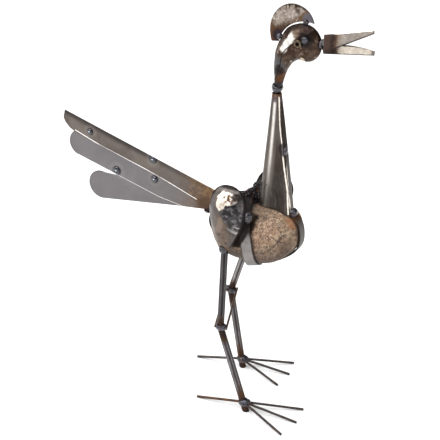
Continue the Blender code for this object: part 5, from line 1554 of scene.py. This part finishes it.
def legs(form, look):
    """Thighs and shins of drawn bar, sawn to a mitre at each knee."""
    for name, side in SIDES.items():
        leg = LEGS[name]
        hip, knee, foot = leg_points(side, leg)
        mitre = unit(unit(hip - knee) + unit(knee - foot))
        by_knee = ((knee, knee + unit(foot - knee) * 0.010, knee + unit(hip - knee) * 0.006), 0.024)
        by_foot = ((foot + (knee - foot) * 0.11, foot), 0.030)
        light = look.near_bar if name == "right" else look.far_bar
        finishes = (bar_steel(light, name + "_thigh_bar", hip, knee, (by_knee,)),
                    bar_steel(tuple(c * 1.90 for c in look.near_bar), name + "_shin_bar", knee, foot,
                              (by_knee, by_foot)))
        runs = ((name + "_thigh", hip, knee + unit(hip - knee) * FIT_GAP, UP, mitre),
                (name + "_shin", knee + unit(foot - knee) * FIT_GAP, foot, mitre, UP))
        for finish, (node, start, end, start_cut, end_cut) in zip(finishes, runs):
            rows, _ = bar_rows(start, end, LEG_BAR / 2, 40, 150, start_cut, end_cut)
            depth = hollows(0.00020, rows, 0.014, 131, 3)
            points, faces = skin(sunk(rows, depth))
            make(node + "_fine", points, faces, [finish], [node], "leg_bar")


def toe_line(side, leg, angle, reach):
    """Root and tip of a toe's middle line, fanned out from the shin."""
    _, knee, foot = leg_points(side, leg)
    joint = foot + (knee - foot) * TOE_JOINT_Z / KNEE_Z
    tip = foot + direction(leg["turn"] + angle) * leg["toe"] * reach
    slope = math.atan2(TOE_JOINT_Z - TOE_ROD / 2, leg["toe"] * reach)
    tip[2] = TOE_ROD / 2 * math.cos(slope)
    start = BACK_TOE_ROOT if abs(angle) > 90 else TOE_ROOT
    return joint + unit(tip - joint) * start, tip


def toes(form, look):
    """Ribbed rods ahead of each foot and a plain rusted one behind it."""
    ribbed = rod_steel("ribbed_toe_rod", (0.062, 0.058, 0.058), (0.018, 0.015, 0.015), 0.22)
    plain = {"right": rod_steel("rusty_toe_rod", (0.050, 0.032, 0.024), (0.018, 0.011, 0.009), 0.55),
             "left": rod_steel("grey_toe_rod", (0.064, 0.058, 0.055), (0.024, 0.020, 0.019), 0.20)}
    for name, side in SIDES.items():
        for toe, angle, reach in TOES:
            root, tip = toe_line(side, LEGS[name], angle, reach)
            rows, along = bar_rows(root, tip, TOE_ROD / 2, 18, 380 if toe != "back" else 100, edge=0.0005)
            depth = hollows(0.00012, rows, 0.004, 141, 2)
            if toe != "back":
                travel = (rows - root) @ along
                turn = 2.0 * math.pi * np.arange(18) / 18
                wave = 0.5 + 0.5 * np.cos(2.0 * math.pi * travel / form.rib_pitch + turn[None, :])
                depth = depth + form.rib_depth * (1.0 - wave ** 2)
            points, faces = skin(sunk(rows, depth))
            node = f"{name}_{toe}_toe"
            finish = ribbed if toe != "back" else plain[name]
            make(node + "_fine", points, faces, [finish], [node], "thin_rod", sharp=70.0)


def braces(form, look):
    """Two thin rods that tie the knees together."""
    finish = rod_steel("brace_rod", (0.120, 0.090, 0.078), (0.038, 0.026, 0.022), 0.50)
    knees = [leg_points(side, LEGS[name])[1] for name, side in SIDES.items()]
    reach = LEG_BAR / 2 + BRACE_ROD / 2 + BRACE_OVERRUN
    for node, offset in (("rear_brace", -reach), ("front_brace", reach + FRONT_BRACE_STAND)):
        ends = [knee + FORWARD * offset + UP * BRACE_LIFT for knee in knees]
        run = unit(ends[1] - ends[0])
        overrun = LEG_BAR / 2 + BRACE_OVERRUN
        rows, _ = bar_rows(ends[0] - run * overrun, ends[1] + run * overrun, BRACE_ROD / 2, 20, 120)
        depth = hollows(0.00018, rows, 0.006, 151, 2)
        points, faces = skin(sunk(rows, depth))
        make(node + "_fine", points, faces, [finish], [node], "thin_rod")


# Welds

# Cell of the fine mesh, share of the full relief, and kind of metal
WELDS = {
    "back_weld": (0.000625, 1.0, "brown"), "beak_weld": (0.000500, 0.6, "blue"),
    "breast_weld": (0.000450, 0.7, "blue"), "crest_front_weld": (0.000450, 0.5, "blue"),
    "crest_rear_weld": (0.000450, 0.5, "blue"), "seam_weld": (0.000375, 0.25, "dark"),
    "tail_root_weld": (0.000500, 0.6, "brown"), "throat_weld": (0.000500, 0.6, "dark"),
    "right_eye_weld": (0.000425, 0.4, "dark"), "left_eye_weld": (0.000425, 0.4, "dark"),
    "right_foot_weld": (0.000525, 0.8, "blue"), "left_foot_weld": (0.000525, 0.8, "brown"),
    "right_hip_weld": (0.000450, 0.8, "blue"), "left_hip_weld": (0.000450, 0.8, "brown"),
    "right_knee_weld": (0.000525, 0.8, "blue"), "left_knee_weld": (0.000525, 0.8, "brown"),
    "right_wing_weld": (0.000500, 0.8, "dark"), "left_wing_weld": (0.000500, 0.8, "brown"),
}


def welds(form, look):
    """Lumps of weld with the ripples of each pass, and the domed plugs on the tail."""
    finishes = {"blue": bead_steel(look, "blue_weld", 0.90, 0.40),
                "dark": bead_steel(look, "dark_weld", 0.45, 0.15),
                "brown": bead_steel(look, "brown_weld", 0.30, 0.85)}
    for node, (cell, share, kind) in WELDS.items():
        points, faces = solid_copy(node, cell)
        away = outward(points, faces)
        middle = points.mean(axis=0)
        lean = unit([0.5, 0.2, 0.85])
        travel = (points - middle) @ lean + 0.0016 * swells(points, 0.006, 161)
        ripple = 0.5 + 0.5 * np.cos(2.0 * math.pi * travel / form.ripple_pitch)
        lumps = smooth(dents(points, 0.0052, 163), 0.05, 0.75)
        depth = 0.00030 * (1.0 - ripple) + 0.00085 * lumps + 0.00012 * (1 + swells(points, 0.0015, 165))
        points = points - away * (depth * share)[:, None]
        make(node + "_fine", points, faces, [finishes[kind]], [node], "weld", sharp=80.0)
    turn = np.linspace(0.0, 2.0 * math.pi, 73)[:-1]
    glossy = plug_steel()
    for place, order, x, z, across in TAIL_PLUGS:
        face = (order - 1) * BLADE_STEP - BLADE / 2 - FIT_GAP
        rows = []
        for polar in np.linspace(0.0, math.pi / 2 - 0.03, 26):
            share = math.cos(polar) ** 0.8
            wobble = 1.0 - 0.05 * (0.5 + 0.5 * np.sin(2 * turn + across * 900)) * math.sin(polar + 0.6)
            reach = across / 2 * share * wobble
            domed = np.full_like(turn, face - PLUG_HEIGHT * math.sin(polar))
            rows.append(np.column_stack([x + reach * np.cos(turn), domed, z + reach * np.sin(turn)]))
        rows = np.array(rows)
        points, faces = skin(rows)
        make(f"tail_plug_{place}_fine", points, faces, [glossy], [f"tail_plug_{place}"], "weld", sharp=60.0)


def plug_steel():
    """Plug of weld on a blade: glassy blue-black slag, with painted sheen in the middle and a painted glint.
    """
    bench = Bench("glassy_plug")
    gap = None
    glint_spot = None
    for _, order, x, z, across in TAIL_PLUGS:
        middle = bench.away((x, (order - 1) * BLADE_STEP, z)) / (across / 2)
        tip = bench.beside(((x - 0.0006, z + 0.0008), (x - 0.0001, z + 0.0009)))
        gap = middle if gap is None else gap.least(middle)
        glint_spot = tip if glint_spot is None else glint_spot.least(tip)
    fine = bench.cloud(0.0035, 3.0)
    bench.colour = bench.blend(fine.ramp(0.40, 0.65), (0.010, 0.012, 0.018), (0.050, 0.056, 0.074))
    # Painted sheen: lighter towards the middle of each dome
    bench.lay(gap.ramp(0.70, 0.25) * 0.70, (0.110, 0.130, 0.155))
    # Painted glint near the top of each dome
    bench.lay(glint_spot.ramp(0.0014, 0.0006) * 0.95, (0.90, 0.92, 0.95))
    return bench.done(0.75, 0.14 + fine * 0.08, fine, 0.00012, 0.8, 0.06)


# Stage

def softbox(name, place, aim, wide, tall, radiance):
    """Rectangular lamp; radiance is how bright its face is."""
    lamp = bpy.data.lights.new(name, "AREA")
    lamp.shape = "RECTANGLE"
    lamp.size = wide
    lamp.size_y = tall
    lamp.energy = radiance * math.pi * wide * tall
    holder = bpy.data.objects.new(name, lamp)
    holder.location = place
    holder.rotation_euler = (Vector(aim) - Vector(place)).to_track_quat("-Z", "Y").to_euler()
    bpy.context.scene.collection.objects.link(holder)


def stage(setting):
    """Pale floor, soft lamps, pale surroundings and the camera."""
    half = setting.floor_width / 2
    mesh = bpy.data.meshes.new("floor")
    mesh.from_pydata([(-half, -half, 0.0), (half, -half, 0.0), (half, half, 0.0), (-half, half, 0.0)],
                     [], [(0, 1, 2, 3)])
    paint = bpy.data.materials.new("floor_paint")
    paint.use_nodes = True
    shader = paint.node_tree.nodes["Principled BSDF"]
    shader.inputs["Base Color"].default_value = (*setting.floor_colour, 1.0)
    shader.inputs["Roughness"].default_value = 0.7
    mesh.materials.append(paint)
    floor = bpy.data.objects.new("floor", mesh)
    bpy.context.scene.collection.objects.link(floor)

    world = bpy.data.worlds.new("pale_room")
    world.use_nodes = True
    world.node_tree.nodes["Background"].inputs["Color"].default_value = (1.0, 1.0, 1.0, 1.0)
    world.node_tree.nodes["Background"].inputs["Strength"].default_value = setting.room_light
    bpy.context.scene.world = world

    sun = bpy.data.lights.new("window_light", "SUN")
    sun.energy = setting.window_light
    sun.angle = math.radians(80.0)
    window = bpy.data.objects.new("window_light", sun)
    window.rotation_euler = Vector((0.55, 0.75, -1.6)).to_track_quat("-Z", "Y").to_euler()
    bpy.context.scene.collection.objects.link(window)

    aim = (0.06, 0.0, 0.40)
    softbox("key_softbox", (-0.9, -1.5, 1.7), aim, 0.9, 0.9, setting.softbox_light)
    softbox("right_softbox", (1.5, -0.9, 0.9), aim, 0.35, 1.3, setting.softbox_light)
    softbox("top_softbox", (0.1, 0.3, 2.0), aim, 1.0, 0.6, setting.softbox_light * 0.8)
    softbox("left_strip", (-1.6, -0.3, 0.9), aim, 0.25, 1.3, setting.softbox_light * 1.2)

    turn = math.radians(setting.view_azimuth)
    climb = math.radians(setting.view_elevation)
    back = np.array([math.sin(turn) * math.cos(climb), -math.cos(turn) * math.cos(climb), math.sin(climb)])
    lens = bpy.data.cameras.new("camera")
    lens.lens = VIEW_LENS
    lens.sensor_width = VIEW_SENSOR
    camera = bpy.data.objects.new("camera", lens)
    camera.location = VIEW_TARGET + back * VIEW_DISTANCE
    camera.rotation_euler = Vector(-back).to_track_quat("-Z", "Y").to_euler()
    bpy.context.scene.collection.objects.link(camera)
    bpy.context.scene.camera = camera
    bpy.context.scene.view_settings.view_transform = "Standard"


# Settings, operators and panel

def colour(name, default):
    """Colour setting of the named surface."""
    return FloatVectorProperty(name=name, description=name + ", base colour", subtype="COLOR", size=3,
                               default=default, min=0.0, max=1.0)


def length(name, default, about):
    """Length setting in metres."""
    return FloatProperty(name=name, description=about, unit="LENGTH", default=default, min=0.0,
                         precision=5)


class FinishSettings(bpy.types.PropertyGroup):
    """Colours of the stone and of the steel."""

    tan: colour("Stone tan", (0.285, 0.188, 0.112))
    pink: colour("Stone pink", (0.235, 0.130, 0.080))
    rust: colour("Stone rust", (0.220, 0.095, 0.038))
    grain: length("Stone grain", 0.0037, "Size of one grain in the stone")
    strap: colour("Straps", (0.235, 0.215, 0.205))
    sheet: colour("Neck sheet", (0.084, 0.071, 0.063))
    head: colour("Head", (0.080, 0.050, 0.034))
    crest: colour("Crest", (0.370, 0.315, 0.275))
    beak: colour("Beak", (0.150, 0.130, 0.115))
    lower_beak: colour("Lower beak", (0.560, 0.490, 0.410))
    warm_blade: colour("Upper blade", (0.158, 0.134, 0.118))
    blade: colour("Lower blades", (0.168, 0.157, 0.162))
    near_bar: colour("Near leg", (0.120, 0.110, 0.114))
    far_bar: colour("Far leg", (0.400, 0.375, 0.370))
    bead: colour("Weld", (0.042, 0.039, 0.046))


class FormSettings(bpy.types.PropertyGroup):
    """Sizes of the worked surface."""

    stone_relief: FloatProperty(name="Stone relief", description="Share of the stone's full relief",
                                subtype="FACTOR", default=1.0, min=0.0, max=1.0)
    neck_buckle: length("Neck buckle", 0.00055, "Depth of the buckles in the neck's sheet")
    head_dent: length("Head dents", 0.00060, "Depth of the hammer marks on the head")
    wing_dent: length("Wing dents", 0.00080, "Depth of the hammer marks on the wings")
    rib_pitch: length("Rib pitch", 0.00150, "Distance from one rib of a toe to the next")
    rib_depth: length("Rib depth", 0.00028, "Depth between the ribs of a toe")
    ripple_pitch: length("Weld ripple", 0.00210, "Distance from one ripple of a weld to the next")


class StageSettings(bpy.types.PropertyGroup):
    """Floor, light and view."""

    floor_width: length("Floor width", 60.0, "Width of the floor")
    floor_colour: colour("Floor", (0.95, 0.95, 0.95))
    room_light: FloatProperty(name="Room light", description="Brightness of the surroundings",
                              default=0.22, min=0.0)
    window_light: FloatProperty(name="Window light", description="Strength of the broad light",
                                default=3.9, min=0.0)
    softbox_light: FloatProperty(name="Softbox light", description="Brightness of a softbox's face",
                                 default=5.0, min=0.0)
    view_azimuth: FloatProperty(name="View azimuth", description="Turn of the camera round the bird, degrees",
                                default=28.0)
    view_elevation: FloatProperty(name="View elevation", description="Height angle of the camera, degrees",
                                  default=26.0)


class MakeOperator:
    """Shared run of the operators that make a piece."""

    bl_options = {"REGISTER", "UNDO"}
    work = None

    def execute(self, context):
        """Make the piece from the scene's settings."""
        scene = context.scene
        type(self).work(scene.roadrunner_form, scene.roadrunner_finish)
        return {"FINISHED"}


class ROADRUNNER_OT_stone(MakeOperator, bpy.types.Operator):
    """Make the river stone"""

    bl_idname = "roadrunner.stone"
    bl_label = "Stone"
    work = staticmethod(river_stone)


class ROADRUNNER_OT_straps(MakeOperator, bpy.types.Operator):
    """Make the two flat straps round the stone"""

    bl_idname = "roadrunner.straps"
    bl_label = "Straps"
    work = staticmethod(both_straps)


class ROADRUNNER_OT_neck(MakeOperator, bpy.types.Operator):
    """Make the neck of rolled sheet"""

    bl_idname = "roadrunner.neck"
    bl_label = "Neck"
    work = staticmethod(rolled_neck)


class ROADRUNNER_OT_head(MakeOperator, bpy.types.Operator):
    """Make the beaten head"""

    bl_idname = "roadrunner.head"
    bl_label = "Head"
    work = staticmethod(beaten_head)


class ROADRUNNER_OT_crest(MakeOperator, bpy.types.Operator):
    """Make the half-moon crest"""

    bl_idname = "roadrunner.crest"
    bl_label = "Crest"
    work = staticmethod(crest)


class ROADRUNNER_OT_beak(MakeOperator, bpy.types.Operator):
    """Make the two folded plates of the beak"""

    bl_idname = "roadrunner.beak"
    bl_label = "Beak"
    work = staticmethod(beak)


class ROADRUNNER_OT_eyes(MakeOperator, bpy.types.Operator):
    """Make the two nuts that are its eyes"""

    bl_idname = "roadrunner.eyes"
    bl_label = "Eyes"
    work = staticmethod(eyes)


class ROADRUNNER_OT_wings(MakeOperator, bpy.types.Operator):
    """Make the two beaten wings"""

    bl_idname = "roadrunner.wings"
    bl_label = "Wings"
    work = staticmethod(wings)


class ROADRUNNER_OT_tail(MakeOperator, bpy.types.Operator):
    """Make the three tail blades"""

    bl_idname = "roadrunner.tail"
    bl_label = "Tail"
    work = staticmethod(tail)


class ROADRUNNER_OT_legs(MakeOperator, bpy.types.Operator):
    """Make the thighs and shins"""

    bl_idname = "roadrunner.legs"
    bl_label = "Legs"
    work = staticmethod(legs)


class ROADRUNNER_OT_toes(MakeOperator, bpy.types.Operator):
    """Make the eight toes"""

    bl_idname = "roadrunner.toes"
    bl_label = "Toes"
    work = staticmethod(toes)


class ROADRUNNER_OT_braces(MakeOperator, bpy.types.Operator):
    """Make the two rods between the knees"""

    bl_idname = "roadrunner.braces"
    bl_label = "Braces"
    work = staticmethod(braces)


class ROADRUNNER_OT_welds(MakeOperator, bpy.types.Operator):
    """Make the lumps and plugs of weld"""

    bl_idname = "roadrunner.welds"
    bl_label = "Welds"
    work = staticmethod(welds)


class ROADRUNNER_OT_stage(bpy.types.Operator):
    """Set the floor, the lamps and the camera"""

    bl_idname = "roadrunner.stage"
    bl_label = "Stage"
    bl_options = {"REGISTER", "UNDO"}

    def execute(self, context):
        """Set the stage from the scene's settings."""
        stage(context.scene.roadrunner_stage)
        return {"FINISHED"}


STEPS = ("stone", "straps", "neck", "head", "crest", "beak", "eyes", "wings", "tail", "legs", "toes",
         "braces", "welds", "stage")


class ROADRUNNER_PT_bench(bpy.types.Panel):
    """Panel that lists the pieces and their settings"""

    bl_label = "Welded Roadrunner"
    bl_idname = "ROADRUNNER_PT_bench"
    bl_space_type = "VIEW_3D"
    bl_region_type = "UI"
    bl_category = "Roadrunner"

    def draw(self, context):
        """List the operators, then the settings."""
        for step in STEPS:
            self.layout.operator("roadrunner." + step)
        for group in (context.scene.roadrunner_form, context.scene.roadrunner_finish,
                      context.scene.roadrunner_stage):
            box = self.layout.box()
            for key in type(group).__annotations__:
                box.prop(group, key)


CLASSES = (
    FinishSettings, FormSettings, StageSettings, ROADRUNNER_OT_stone, ROADRUNNER_OT_straps,
    ROADRUNNER_OT_neck, ROADRUNNER_OT_head, ROADRUNNER_OT_crest, ROADRUNNER_OT_beak, ROADRUNNER_OT_eyes,
    ROADRUNNER_OT_wings, ROADRUNNER_OT_tail, ROADRUNNER_OT_legs, ROADRUNNER_OT_toes,
    ROADRUNNER_OT_braces, ROADRUNNER_OT_welds, ROADRUNNER_OT_stage, ROADRUNNER_PT_bench,
)


def register():
    """Add the classes and the scene's settings."""
    for item in CLASSES:
        bpy.utils.register_class(item)
    bpy.types.Scene.roadrunner_finish = PointerProperty(type=FinishSettings)
    bpy.types.Scene.roadrunner_form = PointerProperty(type=FormSettings)
    bpy.types.Scene.roadrunner_stage = PointerProperty(type=StageSettings)


def unregister():
    """Take them away again."""
    del bpy.types.Scene.roadrunner_stage
    del bpy.types.Scene.roadrunner_form
    del bpy.types.Scene.roadrunner_finish
    for item in reversed(CLASSES):
        bpy.utils.unregister_class(item)


def main():
    """Make every piece and the stage."""
    register()
    for step in STEPS:
        getattr(bpy.ops.roadrunner, step)()


if __name__ == "__main__":
    main()
